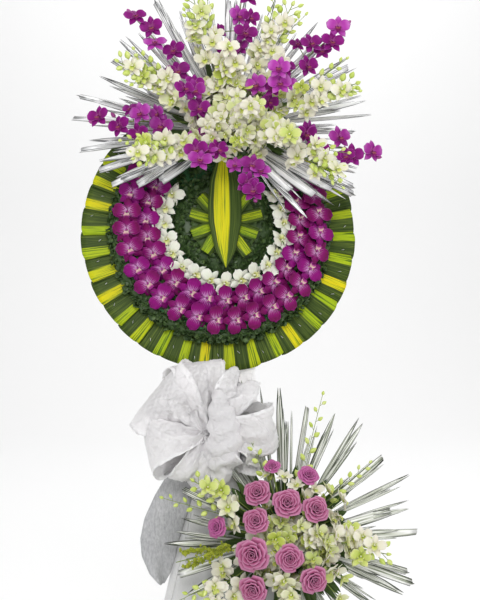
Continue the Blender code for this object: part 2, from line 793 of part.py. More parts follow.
def cloth_band():
    """The folded cloth band tied round the front of the skirt."""
    swells = (0.55, 1.0, 0.6, 0.95, 0.5)
    base = SKIRT_OFFSET + CLOTH + 2 * GAP
    loops = []
    for i, swell in enumerate(swells):
        height = BAND_LOW + (BAND_HIGH - BAND_LOW) * i / (len(swells) - 1)
        wave = HEM_WAVE * (1 - height / SKIRT_TOP)
        front = gore_path(0, 1, height, base + BAND_DEPTH * swell, wave)
        rear = gore_path(0, 1, height, base, wave)
        loops.append((front, rear))
    count = len(loops[0][0])
    sections = []
    for j in range(1, count - 1):
        sections.append([front[j] for front, _ in loops] + [rear[j] for _, rear in reversed(loops)])
    return loft(sections)


def tail():
    """The felt tail that falls from behind the bow, with a soft fold down its middle."""
    outline = ((0.600, -0.122, -0.060), (0.560, -0.146, -0.064), (0.510, -0.166, -0.076),
               (0.464, -0.174, -0.090), (0.425, -0.170, -0.104), (0.385, -0.152, -0.122),
               (0.364, -0.136, -0.130))
    across = 5
    rows, depth = [], []
    for height, left, right in outline:
        sink = (outline[0][0] - height) / (outline[0][0] - outline[-1][0])
        row = []
        for j in range(across):
            part = j / (across - 1)
            bulge = 0.008 * math.sin(math.pi * part * 1.5) * (0.3 + 0.7 * sink)
            row.append(Vector((left + (right - left) * part, TAIL_FRONT - 0.028 * sink - bulge, height)))
        rows.append(row)
        depth.append([Vector((0, CLOTH, 0))] * across)
    return panel(rows, depth)


def drape():
    """The strip of cloth that covers the post between the disc and the bow."""
    across = 7
    rows, depth = [], []
    for height, front in DRAPE_LINE:
        row = []
        for j in range(across):
            part = j / (across - 1)
            fold = 0.003 * math.cos(math.tau * part * 1.5) - 0.003
            row.append(Vector((-0.050 + 0.136 * part, front + fold, height)))
        rows.append(row)
        depth.append([Vector((0, CLOTH, 0))] * across)
    return panel(rows, depth)


def bow_loop(heading, reach, width, depth, forward, crease):
    """One puffed loop of the bow, from the knot out to its rounded end."""
    sides = 8
    a = math.radians(heading)
    way = Vector((math.cos(a), 0, math.sin(a)))
    across = Vector((-math.sin(a), 0, math.cos(a)))
    start = Vector((KNOT_X, -0.104, KNOT_Z))
    stations = ((0.00, 0.40, 0.5), (0.36, 0.82, 0.85), (0.72, 1.0, 1.0), (0.95, 0.55, 0.6))
    sections = []
    for share, spread, fat in stations:
        centre = start + way * reach * share + Vector((0, forward * math.sin(math.pi * share * 0.5), 0))
        loop = []
        for i in range(sides):
            angle = math.tau * i / sides
            pinch = 1 - crease * (0.5 + 0.5 * math.cos(3 * angle + share * 2))
            loop.append(centre + across * width * spread * math.cos(angle) * pinch
                        + Vector((0, depth * fat * math.sin(angle) * pinch, 0)))
        sections.append(loop)
    tip = start + way * reach + Vector((0, forward, 0))
    sections.append([tip])
    return loft(sections)


def bow():
    """The bow: puffed loops gathered at a knot, with one tall loop before it."""
    knot = [circle(radius, 8, Vector((0, 0, depth)))
            for radius, depth in ((0.016, 0.0), (0.028, 0.016), (0.030, 0.050), (0.014, 0.078))]
    back = -HUB_RADIUS - GAP - CLOTH - 0.0038
    turned = Matrix.Translation((KNOT_X, back, KNOT_Z)) @ Matrix.Rotation(math.pi / 2, 4, "X")
    shapes = [moved(loft(knot), turned)]
    loops = ((146, 0.150, 0.062, 0.028, -0.006, 0.10), (102, 0.160, 0.044, 0.024, 0.004, 0.12),
             (206, 0.124, 0.050, 0.026, -0.004, 0.12), (250, 0.118, 0.040, 0.024, -0.008, 0.14),
             (52, 0.170, 0.044, 0.026, -0.010, 0.14), (8, 0.172, 0.046, 0.027, -0.010, 0.12),
             (-30, 0.165, 0.034, 0.022, -0.012, 0.14), (-66, 0.112, 0.038, 0.026, -0.018, 0.14))
    shapes += [bow_loop(*loop) for loop in loops]
    shapes.append(front_loop())
    return shapes


def front_loop():
    """The tall puffed loop that stands in front of the knot."""
    sides = 8
    sections = [[Vector((KNOT_X + 0.022, -0.122, KNOT_Z + 0.096))]]
    stations = ((0.086, 0.022, 0.014), (0.048, 0.040, 0.030), (-0.004, 0.043, 0.036),
                (-0.060, 0.034, 0.030), (-0.098, 0.018, 0.016))
    for height, half, depth in stations:
        loop = []
        for i in range(sides):
            angle = -math.tau * i / sides
            pinch = 1 - 0.14 * (0.5 + 0.5 * math.cos(4 * angle + height * 20))
            loop.append(Vector((KNOT_X + 0.040 - 0.012 * abs(height) / 0.1 + half * math.cos(angle) * pinch,
                                -0.142 + depth * math.sin(angle) * pinch, KNOT_Z + height)))
        sections.append(loop)
    sections.append([Vector((KNOT_X + 0.030, -0.134, KNOT_Z - 0.108))])
    return loft(sections)


def build_stand(axis):
    """The legs, and the hub that they meet in."""
    for name, foot in zip(("leg_front_left", "leg_front_right", "leg_back"), FEET):
        body(name, leg(foot), "wood", axis)
    return body("leg_hub", prism(HUB_RADIUS, HUB_BOTTOM, HUB_TOP, 12), "wood", axis)


def box_shape(low, high):
    """A plain block between two corners."""
    corners = ((low[0], low[1]), (high[0], low[1]), (high[0], high[1]), (low[0], high[1]))
    return loft([[Vector((x, y, z)) for x, y in corners] for z in (low[2], high[2])])


def build_disc(frame, hub):
    """Everything that is built up on the leaning disc, and the batten that carries it."""
    back = -BOARD_THICKNESS - GAP
    half = BATTEN_WIDTH / 2
    rows = empty("row_frame", DISC_CENTRE + Matrix.Rotation(math.pi / 2 - DISC_LEAN, 3, "X") @ ROW_CENTRE,
                 DISC_LEAN)
    body("support_batten", box_shape((-half, BATTEN_FOOT, back - BATTEN_DEPTH), (half, BATTEN_TOP, back)),
         "wood", frame)
    grow = 0.0004
    socket = box_shape((-half - grow, BATTEN_FOOT - grow, back - BATTEN_DEPTH - grow),
                       (half + grow, BATTEN_FOOT + 0.2, back + grow))
    drilled(hub, [socket], frame)
    body("backing_board", prism(BOARD_RADIUS, -BOARD_THICKNESS, 0.0, 32), "wood", frame)
    body("leaf_collar", collar(), "variegated", frame)
    body("foam_disc", foam_disc(), "foam", frame)
    body("outer_leaf_bed", outer_bed(), "bed", frame)
    body("inner_leaf_bed", inner_bed(), "bed", rows)
    fused("purple_orchid_outer_row", bloom_row(OUTER_ROW, "outer row"), "purple", rows)
    fused("purple_orchid_inner_row", bloom_row(INNER_ROW, "inner row"), "purple", rows)
    fused("white_orchid_row", bloom_row(WHITE_ROW, "white row"), "cream", rows)
    fused("centre_leaf_star", leaf_star(), "variegated", rows)
    body("centre_hanging_leaf", hanging_leaf(), "variegated", frame)


def build_top_spray(frame):
    """The block of foam at the top of the disc, its silver leaves and its sprays."""
    roots = []
    for entry in TOP_SPRAYS:
        shapes, root = spray(entry, TOP_BLOCK, TOP_BLOCK_RADIUS, TOP_BLOCK_DEPTH)
        fused(entry[0], shapes, entry[1], frame)
        roots.append(root)
    low, high = TOP_BLOCK.z, TOP_BLOCK.z + TOP_BLOCK_DEPTH
    block = body("top_foam_block", prism(TOP_BLOCK_RADIUS, low, high, BLOCK_SIDES, TOP_BLOCK), "foam", frame)
    drilled(block, [hole(root) for root in roots], frame)
    fan = silver_fan("top fan", TOP_BLADES, TOP_BLOCK, TOP_BLOCK_RADIUS, 0.006, 0.020,
                     lambda azimuth: 0.345 if 75 < azimuth < 200 else 0.310,
                     lambda azimuth: 5 if 20 < azimuth < 160 else 12, BARE_ARC)
    fused("top_silver_leaves", fan, "silver", frame)


def lower_reach(azimuth):
    """How far from the middle of the lower block its silver leaves reach: long upwards, short to the left."""
    if 120 < azimuth < 240:
        return 0.245
    return 0.350 if 50 < azimuth < 120 else 0.290


def build_lower_spray(frame):
    """The lower block of foam, its silver leaves, roses and small sprays."""
    block = Vector((0, 0, 0))
    roots = []
    for name, across, up, size in ROSES:
        out = math.sqrt(ROSE_DOME ** 2 - across ** 2 - up ** 2) + ROSE_DOME_CENTRE
        head = Vector((across, up, LOWER_BLOCK_DEPTH + out))
        root = Vector((across, up, 0)) * 0.32
        root.z = LOWER_BLOCK_DEPTH
        bend = root + Vector((0, 0, STEM_RISE))
        look = (head - Vector((0, 0, ROSE_DOME_CENTRE))).normalized()
        path = [root - Vector((0, 0, STEM_DEPTH)), bend, head]
        flower = moved(rose(size), aimed(head, look, Vector((0.2, 1, 0))))
        fused(name, [tube(path, STEM_RADIUS, 4), flower], "rose", frame)
        roots.append(root)
    for entry in LOWER_SPRAYS:
        make = goldenrod if entry[1] == "yellow" else spray
        shapes, root = make(entry, block, LOWER_BLOCK_RADIUS, LOWER_BLOCK_DEPTH)
        fused(entry[0], shapes, entry[1], frame)
        roots.append(root)
    foam = body("lower_foam_block", prism(LOWER_BLOCK_RADIUS, 0.0, LOWER_BLOCK_DEPTH, BLOCK_SIDES),
                "foam", frame)
    drilled(foam, [hole(root) for root in roots], frame)
    fan = silver_fan("lower fan", LOWER_BLADES, block, LOWER_BLOCK_RADIUS, 0.024, 0.040, lower_reach,
                     lambda azimuth: 0.4 if 80 < azimuth < 150 else 3, None)
    fused("lower_silver_leaves", fan, "silver", frame)


def build_cloth(axis):
    """The skirt, the band, the tail, the drape and the bow."""
    body("skirt_front", gore(0, 1), "cloth", axis)
    body("skirt_right", gore(1, 2), "cloth", axis)
    body("skirt_left", gore(2, 0), "cloth", axis)
    body("cloth_band", cloth_band(), "cloth", axis)
    body("cloth_tail", tail(), "cloth", axis)
    body("cloth_drape", drape(), "cloth", axis)
    fused("bow", bow(), "cloth", axis)


def build():
    """Builds the whole wreath."""
    clear_scene()
    axis = bpy.data.objects.new("stand_axis", None)
    bpy.context.scene.collection.objects.link(axis)
    axis.location = AXIS
    disc_frame = empty("disc_frame", DISC_CENTRE, DISC_LEAN)
    lower_frame = empty("lower_frame", AXIS + LOWER_CENTRE, LOWER_LEAN)
    hub = build_stand(axis)
    build_disc(disc_frame, hub)
    build_top_spray(disc_frame)
    build_lower_spray(lower_frame)
    build_cloth(axis)


build()
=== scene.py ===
# %% [markdown]
# # A funeral wreath on its stand
#
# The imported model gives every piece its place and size, and this script dresses it: camera, floor and light
# first, then the materials, then flowers, leaves, cloth and stand. Sizes are in metres, and angles in tables
# are in degrees.

# %% Loading the frame
import json
import random
from collections import namedtuple
from math import atan2, cos, degrees, dist, exp, hypot, pi, radians, sin, sqrt, tan, tau

import bpy
import numpy as np
from mathutils import Matrix, Vector, noise

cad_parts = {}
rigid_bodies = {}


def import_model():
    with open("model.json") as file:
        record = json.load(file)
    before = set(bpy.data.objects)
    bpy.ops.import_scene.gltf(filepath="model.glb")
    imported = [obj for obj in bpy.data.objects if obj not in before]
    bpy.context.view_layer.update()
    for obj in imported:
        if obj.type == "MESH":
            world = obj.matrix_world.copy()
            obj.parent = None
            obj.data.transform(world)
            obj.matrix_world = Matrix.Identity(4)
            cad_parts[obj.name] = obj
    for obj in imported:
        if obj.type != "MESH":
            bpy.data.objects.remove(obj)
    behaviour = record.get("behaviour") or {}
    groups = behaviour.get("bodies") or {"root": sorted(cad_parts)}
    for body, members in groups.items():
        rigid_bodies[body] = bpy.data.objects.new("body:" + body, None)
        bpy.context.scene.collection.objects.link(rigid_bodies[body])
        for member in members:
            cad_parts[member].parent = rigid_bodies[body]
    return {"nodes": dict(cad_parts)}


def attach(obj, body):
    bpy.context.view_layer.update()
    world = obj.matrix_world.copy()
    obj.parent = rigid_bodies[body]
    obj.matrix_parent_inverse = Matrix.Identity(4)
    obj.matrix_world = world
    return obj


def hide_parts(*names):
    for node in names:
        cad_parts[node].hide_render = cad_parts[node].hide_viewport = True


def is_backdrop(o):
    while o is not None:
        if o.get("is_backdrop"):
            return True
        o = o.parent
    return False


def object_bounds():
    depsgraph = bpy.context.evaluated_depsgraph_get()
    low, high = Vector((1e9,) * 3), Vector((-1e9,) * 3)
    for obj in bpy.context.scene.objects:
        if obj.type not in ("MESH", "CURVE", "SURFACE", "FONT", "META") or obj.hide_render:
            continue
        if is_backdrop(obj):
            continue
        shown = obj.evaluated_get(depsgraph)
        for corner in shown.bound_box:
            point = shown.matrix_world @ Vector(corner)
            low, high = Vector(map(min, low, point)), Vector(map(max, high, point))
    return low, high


for old in list(bpy.data.objects):
    bpy.data.objects.remove(old, do_unlink=True)
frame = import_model()
cad_box = [list(corner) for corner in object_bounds()]
scene = bpy.context.scene
print("nodes", len(frame["nodes"]), "box", [[round(v, 3) for v in corner] for corner in cad_box])

# %% [markdown]
# ## The layout
#
# The disc leans back on the stand's vertical axis, and the lower spray lies against the slope of the skirt.
# Each gets a frame whose +Z looks out at the viewer and whose +Y runs up the lean, so a flower is placed as
# on a flat table. Turned one by one, flowers would move apart with a change of the lean.

# %% Frames of disc and lower spray
AXIS = Vector((-0.0529, -0.0174, 0.0))
FEET = ((-0.2, -0.15), (0.2, -0.15), (0.0, 0.29))
HUB_BOTTOM, LEG_GATHER = 0.7, 0.118
DISC_PLACE, DISC_LEAN = Vector((0, 0.019, 1.12)), radians(8)
ROWS_SHIFT = (0.005, 0.013, 0)
LOWER_PLACE = Vector((0.1265, -0.0794, 0.462))
LOWER_LEAN = atan2((1 - LEG_GATHER) * -FEET[0][1], HUB_BOTTOM)


def leaning(place, lean):
    """The matrix of a face at a place that leans back."""
    return Matrix.Translation(place) @ Matrix.Rotation(pi / 2 - lean, 4, "X")


disc = leaning(AXIS + DISC_PLACE, DISC_LEAN)
rows_face = disc @ Matrix.Translation(ROWS_SHIFT)
lower = leaning(AXIS + LOWER_PLACE, LOWER_LEAN)
print("disc centre", [round(v, 3) for v in disc.translation])

# %% [markdown]
# ## Camera
#
# The photo was taken from about 2.5 m, a little to the left and below the middle of the wreath. The lens
# follows from that distance and from what a pixel covers. Tried out by eye, it would change with every new
# place.

# %% Camera
CAMERA_AZIMUTH, CAMERA_DISTANCE = radians(-7), 2.5
SENSOR, HALF_PICTURE, PIXEL = 36, 300, 0.0022


def linked(name, data):
    """A new object with this data, in the scene."""
    made = bpy.data.objects.new(name, data)
    scene.collection.objects.link(made)
    return made


def looking(way):
    """The turn of a camera or lamp that looks along a way."""
    return way.to_track_quat("-Z", "Y").to_euler()


camera = linked("camera", bpy.data.cameras.new("camera"))
scene.camera = camera
target = AXIS + Vector((0.043, 0, 0.9735))
away = Vector((sin(CAMERA_AZIMUTH), -cos(CAMERA_AZIMUTH), 0))
camera.location = target + away * CAMERA_DISTANCE
camera.rotation_euler = looking(-away)
camera.data.sensor_width = SENSOR
camera.data.lens = SENSOR / 2 / (HALF_PICTURE * PIXEL / CAMERA_DISTANCE)
print("lens", round(camera.data.lens, 1))

# %% [markdown]
# ## Helpers for nodes
#
# A material is a tree of nodes. Written out in full, each node takes several lines, so short helpers add a
# node and set or link its inputs in one call. The rest then reads like the idea of a finish.

# %% Nodes and colours


def add(tree, kind, values=None, **settings):
    """A node with its settings, and its inputs set to values or linked to sockets."""
    made = tree.nodes.new(kind)
    for key, value in settings.items():
        setattr(made, key, value)
    for key, value in (values or {}).items():
        if isinstance(value, bpy.types.NodeSocket):
            tree.links.new(value, made.inputs[key])
        else:
            made.inputs[key].default_value = value
    return made


def sums(tree, operation, first, second=0.0, third=0.0, clamp=False):
    """The result of a Math node."""
    values = {0: first, 1: second, 2: third}
    return add(tree, "ShaderNodeMath", values, operation=operation, use_clamp=clamp).outputs[0]


def scaled(tree, value, factor, shift=0.0, clamp=False):
    """A value times a factor, plus a shift."""
    return sums(tree, "MULTIPLY_ADD", value, factor, shift, clamp)


def solid(colour):
    """What a colour input takes: a socket, or a grey or three numbers with full alpha."""
    if isinstance(colour, bpy.types.NodeSocket):
        return colour
    return (*(colour if hasattr(colour, "__len__") else (colour,) * 3), 1.0)


def ramp(tree, factor, stops, smooth=False):
    """The colour that a ramp gives for a factor. A stop is (position, colour or grey)."""
    made = add(tree, "ShaderNodeValToRGB", {0: factor})
    band = made.color_ramp
    band.interpolation = "EASE" if smooth else "LINEAR"
    while len(band.elements) < len(stops):
        band.elements.new(0.5)
    for element, (position, colour) in zip(band.elements, stops):
        element.position = position
        element.color = solid(colour)
    return made.outputs[0]


def mix(tree, factor, first, second):
    """Two colours mixed by a factor."""
    values = {0: factor, 6: solid(first), 7: solid(second)}
    return add(tree, "ShaderNodeMix", values, data_type="RGBA").outputs[2]


print("colour helpers ready")

# %% Textures, groups and materials


def uv_of(tree):
    """The piece's UV: the whole vector, u across the piece and v along it."""
    place = add(tree, "ShaderNodeUVMap", uv_map="UVMap").outputs[0]
    across, along = add(tree, "ShaderNodeSeparateXYZ", {0: place}).outputs[:2]
    return place, across, along


def from_middle(tree, across):
    """How far a point lies from the middle line, up to 0.5."""
    return sums(tree, "ABSOLUTE", sums(tree, "SUBTRACT", across, 0.5))


def object_place(tree):
    """The place of a point on its object."""
    return add(tree, "ShaderNodeTexCoord").outputs["Object"]


def clouds(tree, place, scale, detail=2.0, roughness=0.5):
    """The value of a noise at a place."""
    values = {"Vector": place, "Scale": scale, "Detail": detail, "Roughness": roughness}
    return add(tree, "ShaderNodeTexNoise", values).outputs[0]


def reading(tree, name):
    """The value of a named attribute."""
    return add(tree, "ShaderNodeAttribute", attribute_name=name, attribute_type="GEOMETRY").outputs["Fac"]


def group(name, inputs, outputs):
    """A node group of plain values: its tree, what it is given and what it gives."""
    made = bpy.data.node_groups.new(name, "ShaderNodeTree")
    for labels, way in ((inputs, "INPUT"), (outputs, "OUTPUT")):
        for label in labels:
            made.interface.new_socket(label, in_out=way, socket_type="NodeSocketFloat")
    return made, add(made, "NodeGroupInput").outputs, add(made, "NodeGroupOutput").inputs


def use(tree, made, values):
    """The outputs of a node group inside a tree."""
    return add(tree, "ShaderNodeGroup", values, node_tree=made).outputs


def material(name, roughness=0.5, **settings):
    """A material, its tree and its Principled shader with its constants set."""
    made = bpy.data.materials.new(name)
    made.use_nodes = True
    shader = made.node_tree.nodes["Principled BSDF"]
    shader.inputs["Roughness"].default_value = roughness
    for key, value in settings.items():
        shader.inputs[key.replace("_", " ")].default_value = value
    return made, made.node_tree, shader


def bump(tree, shader, height, strength, distance):
    """Feeds a height into the shader's normal."""
    made = add(tree, "ShaderNodeBump", {"Height": height, "Strength": strength, "Distance": distance})
    tree.links.new(made.outputs[0], shader.inputs["Normal"])


print("material helpers ready")

# %% [markdown]
# ## Floor and light
#
# The photo shows the wreath before one pale tone. A floor and a wall would show their corner, so the floor
# runs into a sweep far behind, as in a studio. A wide soft light stands in front, a weaker one at each side,
# one above and behind, and one lights the sweep.

# %% Floor and sweep
FLOOR_TONE, TONE_WANDER = 0.93, 0.004
FLOOR_FRONT, FLOOR_HALF_WIDTH = -8.0, 9.0
SWEEP_START, SWEEP_RADIUS, SWEEP_TOP = 5.5, 2.0, 8.0
floor_material, tree, shader = material("pale_floor", 0.9)
cloud = add(tree, "ShaderNodeTexNoise", {"Scale": 3.0, "Detail": 2.0})
floor_colour = mix(tree, cloud.outputs[0], FLOOR_TONE - TONE_WANDER, FLOOR_TONE + TONE_WANDER)
tree.links.new(floor_colour, shader.inputs["Base Color"])
profile = [(FLOOR_FRONT, 0.0), (SWEEP_START, 0.0)]
profile += [(SWEEP_START + SWEEP_RADIUS * sin(a), SWEEP_RADIUS - SWEEP_RADIUS * cos(a))
            for a in np.linspace(0.1, pi / 2, 14)]
profile.append((SWEEP_START + SWEEP_RADIUS, SWEEP_TOP))
points = [(x, y, z) for y, z in profile for x in (-FLOOR_HALF_WIDTH, FLOOR_HALF_WIDTH)]
faces = [(2 * i, 2 * i + 1, 2 * i + 3, 2 * i + 2) for i in range(len(profile) - 1)]
sweep_mesh = bpy.data.meshes.new("floor")
sweep_mesh.from_pydata(points, [], faces)
sweep_mesh.shade_smooth()
sweep_mesh.materials.append(floor_material)
floor = linked("floor", sweep_mesh)
floor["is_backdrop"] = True
print("floor points", len(points))

# %% World and lamps
WORLD_LIGHT, SWEEP_LIGHT_WAY = 0.6, Vector((0.0, 1.0, -1.4))
LAMPS = (
    ("front_light", (-0.45, -2.6, 2.4), 1.3, 40),
    ("left_light", (-2.6, -1.2, 1.6), 1.4, 6),
    ("right_light", (2.6, -1.4, 1.8), 1.4, 15),
    ("back_light", (0.8, 1.6, 4.2), 2.0, 45),
    ("sweep_light", (1.1, 4.2, 5.4), 4.5, 114),
)
world = bpy.data.worlds.new("studio")
world.use_nodes = True
background = world.node_tree.nodes["Background"]
background.inputs[0].default_value = (1.0, 1.0, 1.0, 1.0)
background.inputs[1].default_value = WORLD_LIGHT
scene.world = world
scene.view_settings.view_transform = "Standard"
for name, place, size, power in LAMPS:
    lamp = linked(name, bpy.data.lights.new(name, "AREA"))
    lamp.data.size, lamp.data.energy = size, power
    lamp.location = place
    lamp.rotation_euler = looking(SWEEP_LIGHT_WAY if name == "sweep_light" else target - Vector(place))
print("lamps", len(LAMPS))

# %% [markdown]
# ## Effects shared by the materials
#
# Petals have veins and a thin edge, leaves have fine streaks, and cloth has a felted fibre. Each could be
# drawn anew in every material, but a node group is made once. It gives plain masks, and the materials turn
# the masks into colour, roughness and bump.

# %% Group: petal veins and edge
veins, given, out = group("petal_veins", ("Count",), ("Veins", "Edge", "Along"))
place, across, along = uv_of(veins)
shifted = scaled(veins, clouds(veins, place, 4.0), 0.1, across)
wave = sums(veins, "SINE", scaled(veins, shifted, given["Count"]))
line = sums(veins, "POWER", scaled(veins, wave, 0.5, 0.5), 2.0)
rim = sums(veins, "MAXIMUM", scaled(veins, from_middle(veins, across), 2.0), along)
edge = scaled(veins, rim, 9.0, -7.9, clamp=True)
for label, value in (("Veins", line), ("Edge", edge), ("Along", along)):
    veins.links.new(value, out[label])
print("group petal_veins")

# %% Group: streaks along a leaf
streaks, given, out = group("leaf_streaks", ("Fineness", "Shift"), ("Fine", "Broad"))
_, across, along = uv_of(streaks)
for label, scale, stretch in (("Fine", 1.0, 1.4), ("Broad", 0.3, 0.7)):
    u = scaled(streaks, across, scaled(streaks, given["Fineness"], scale))
    v = scaled(streaks, along, stretch)
    spot = add(streaks, "ShaderNodeCombineXYZ", {0: u, 1: v, 2: given["Shift"]})
    streaks.links.new(clouds(streaks, spot.outputs[0], 1.0), out[label])
print("group leaf_streaks")

# %% Group: cloth fibre
fibre, given, out = group("cloth_fibre", ("Size",), ("Fibre", "Cloud"))
place = object_place(fibre)
values = {"Vector": place, "Scale": (1.0, 1.0, 0.35), "Rotation": (0.3, 0.2, 0.5)}
squeeze = add(fibre, "ShaderNodeMapping", values)
fibre.links.new(clouds(fibre, squeeze.outputs[0], given["Size"], 4.0, 0.7), out["Fibre"])
fibre.links.new(clouds(fibre, place, 14.0, 3.0), out["Cloud"])
print("group cloth_fibre")

# %% [markdown]
# ## Petals
#
# A petal of an orchid is deep in colour, with a pale heart that runs out in streaks, a thin edge and a lip
# of another colour. A painted picture could carry this, but one mask and its ramps serve every bloom. `part`
# is 0 on the petals and 1 on the lip, and `tint` is a draw for the whole bloom.

# %% The petal material and purple petals
VEIN_COUNT, TINT_SLOPE, EDGE_SHARE = 44.0, 3.2, 0.55


def petal_material(name, body, second, heart, edge, lip, streak_reach, turning=0.5, roughness=0.55):
    """A petal: stops of its body from foot to tip, a heart, an edge and stops of its lip.

    Blooms whose tint lies past `turning` go over to the second body colour.
    """
    made, tree, shader = material(name, roughness, Specular_IOR_Level=0.17, Subsurface_Weight=0.12,
                                  Subsurface_Radius=(0.004, 0.002, 0.003), Subsurface_Scale=1.0)
    marks = use(tree, veins, {"Count": VEIN_COUNT})
    along = marks["Along"]
    past = scaled(tree, reading(tree, "tint"), TINT_SLOPE, -TINT_SLOPE * turning, clamp=True)
    colour = mix(tree, past, ramp(tree, along, body, smooth=True), ramp(tree, along, second, smooth=True))
    reach = scaled(tree, marks["Veins"], streak_reach, streak_reach * 0.4)
    heart_mask = sums(tree, "SUBTRACT", 1.0, sums(tree, "DIVIDE", along, reach), clamp=True)
    colour = mix(tree, heart_mask, colour, heart)
    colour = mix(tree, scaled(tree, marks["Edge"], EDGE_SHARE), colour, edge)
    colour = mix(tree, reading(tree, "part"), colour, ramp(tree, along, lip))
    tree.links.new(colour, shader.inputs["Base Color"])
    bump(tree, shader, marks["Veins"], 0.25, 0.0006)
    return made


purple = petal_material(
    "purple_petals", heart=(0.88, 0.6, 0.85), edge=(0.3, 0.02, 0.23), streak_reach=0.37,
    body=[(0.0, (0.3, 0.02, 0.24)), (0.4, (0.22, 0.001, 0.125)), (0.8, (0.135, 0.001, 0.062)),
          (1.0, (0.2, 0.002, 0.108))],
    second=[(0.0, (0.36, 0.04, 0.32)), (0.5, (0.23, 0.001, 0.16)), (1.0, (0.175, 0.001, 0.12))],
    lip=[(0.0, (0.92, 0.86, 0.74)), (0.3, (0.74, 0.5, 0.44)), (0.6, (0.3, 0.02, 0.2)),
         (1.0, (0.4, 0.05, 0.32))])
spray_purple = petal_material(
    "spray_purple_petals", heart=(0.58, 0.2, 0.42), edge=(0.56, 0.17, 0.52), streak_reach=0.24,
    turning=0.54, body=[(0.0, (0.18, 0.006, 0.13)), (0.5, (0.18, 0.002, 0.14)), (1.0, (0.26, 0.01, 0.22))],
    second=[(0.0, (0.4, 0.05, 0.32)), (0.5, (0.38, 0.03, 0.34)), (1.0, (0.54, 0.15, 0.52))],
    lip=[(0.0, (0.55, 0.2, 0.16)), (0.5, (0.16, 0.004, 0.08)), (1.0, (0.28, 0.02, 0.22))])
print("purple petals", purple.name, spray_purple.name)

# %% White petals and rose petals
white = petal_material(
    "white_petals", heart=(0.6, 0.62, 0.22), edge=(0.9, 0.9, 0.84), streak_reach=0.2,
    body=[(0.0, (0.66, 0.7, 0.36)), (0.25, (0.8, 0.8, 0.68)), (1.0, (0.86, 0.855, 0.78))],
    second=[(0.0, (0.72, 0.74, 0.42)), (0.4, (0.82, 0.81, 0.7)), (1.0, (0.8, 0.77, 0.68))],
    lip=[(0.0, (0.55, 0.6, 0.1)), (0.5, (0.74, 0.74, 0.34)), (1.0, (0.86, 0.85, 0.68))])
spray_white = petal_material(
    "spray_white_petals", heart=(0.42, 0.5, 0.06), edge=(0.87, 0.84, 0.76), streak_reach=0.3,
    turning=0.62, body=[(0.0, (0.5, 0.54, 0.14)), (0.35, (0.77, 0.73, 0.57)), (1.0, (0.83, 0.79, 0.69))],
    second=[(0.0, (0.32, 0.44, 0.02)), (0.5, (0.52, 0.61, 0.1)), (1.0, (0.66, 0.7, 0.22))],
    lip=[(0.0, (0.38, 0.48, 0.03)), (0.6, (0.62, 0.66, 0.18)), (1.0, (0.8, 0.78, 0.52))])
# On the roses the dark heart and the dark foot of each petal are painted shade deep in the bloom, and the
# pale edges and tips are painted light on the lit rims.
rose_petals_painted_light = petal_material(
    "rose_petals_painted_light", heart=(0.1, 0.006, 0.04), edge=(0.6, 0.26, 0.43), streak_reach=0.1,
    turning=0.6, roughness=0.6,
    body=[(0.0, (0.09, 0.005, 0.04)), (0.45, (0.2, 0.024, 0.088)), (0.85, (0.36, 0.082, 0.185)),
          (1.0, (0.55, 0.22, 0.35))],
    second=[(0.0, (0.12, 0.006, 0.05)), (0.5, (0.34, 0.035, 0.19)), (1.0, (0.46, 0.1, 0.3))],
    lip=[(0.0, (0.3, 0.1, 0.2)), (1.0, (0.3, 0.1, 0.2))])
print("petal materials", len(bpy.data.materials))

# %% [markdown]
# ## Leaves
#
# Every leaf, bud and stem has fine streaks over broad ones. Each could have a material of its own, but one
# function makes them all, because only colours, fineness and shine differ. The silvered palm leaves are
# painted, so they shine a little like metal, and their colour is darker along their edges.

# %% Leaves, stems, buds and goldenrod
TINT_SHIFT = 37.0


def leaf_material(name, roughness, fineness, stops, broad_share=0.5, metallic=0.0, dark_edges=0.0):
    """A leaf: fine and broad streaks turned into a colour, and dark edges where asked for."""
    made, tree, shader = material(name, roughness, Metallic=metallic, Specular_IOR_Level=0.35)
    shift = scaled(tree, reading(tree, "tint"), TINT_SHIFT)
    marks = use(tree, streaks, {"Fineness": fineness, "Shift": shift})
    both = scaled(tree, marks["Broad"], broad_share, scaled(tree, marks["Fine"], 1 - broad_share))
    colour = ramp(tree, both, stops)
    if dark_edges:
        rim = scaled(tree, from_middle(tree, uv_of(tree)[1]), 8.0, -2.9, clamp=True)
        colour = mix(tree, scaled(tree, rim, dark_edges), colour, stops[0][1])
    tree.links.new(colour, shader.inputs["Base Color"])
    tree.links.new(scaled(tree, marks["Fine"], 0.24, roughness - 0.12), shader.inputs["Roughness"])
    bump(tree, shader, marks["Fine"], 0.5, 0.0008)
    return made


silver = leaf_material("silvered_leaf", 0.36, 8.5, [
    (0.34, (0.03, 0.032, 0.034)), (0.4, (0.3, 0.31, 0.32)), (0.46, (0.86, 0.87, 0.88)),
    (0.56, (0.97, 0.97, 0.97))], 0.2, 0.2, 0.8)
green_silver = leaf_material("silvered_green_leaf", 0.36, 6.5, [
    (0.35, (0.02, 0.03, 0.014)), (0.43, (0.25, 0.28, 0.2)), (0.5, (0.7, 0.72, 0.64)),
    (0.6, (0.97, 0.97, 0.95))], 0.2, 0.15, 0.9)
dark_leaf = leaf_material("dark_small_leaf", 0.4, 5.0, [
    (0.3, (0.014, 0.036, 0.009)), (0.5, (0.042, 0.082, 0.022)), (0.7, (0.13, 0.2, 0.06))], 0.8)
plain_leaf = leaf_material("plain_leaf", 0.5, 22.0, [
    (0.3, (0.026, 0.056, 0.01)), (0.5, (0.05, 0.096, 0.018)), (0.7, (0.11, 0.18, 0.032))], 0.4)
stem_green = leaf_material("stem_green", 0.55, 4.0, [(0.3, (0.1, 0.16, 0.03)), (0.7, (0.26, 0.34, 0.07))])
bud_green = leaf_material("bud_green", 0.5, 6.0, [
    (0.3, (0.38, 0.5, 0.06)), (0.5, (0.56, 0.66, 0.16)), (0.7, (0.74, 0.78, 0.38))])
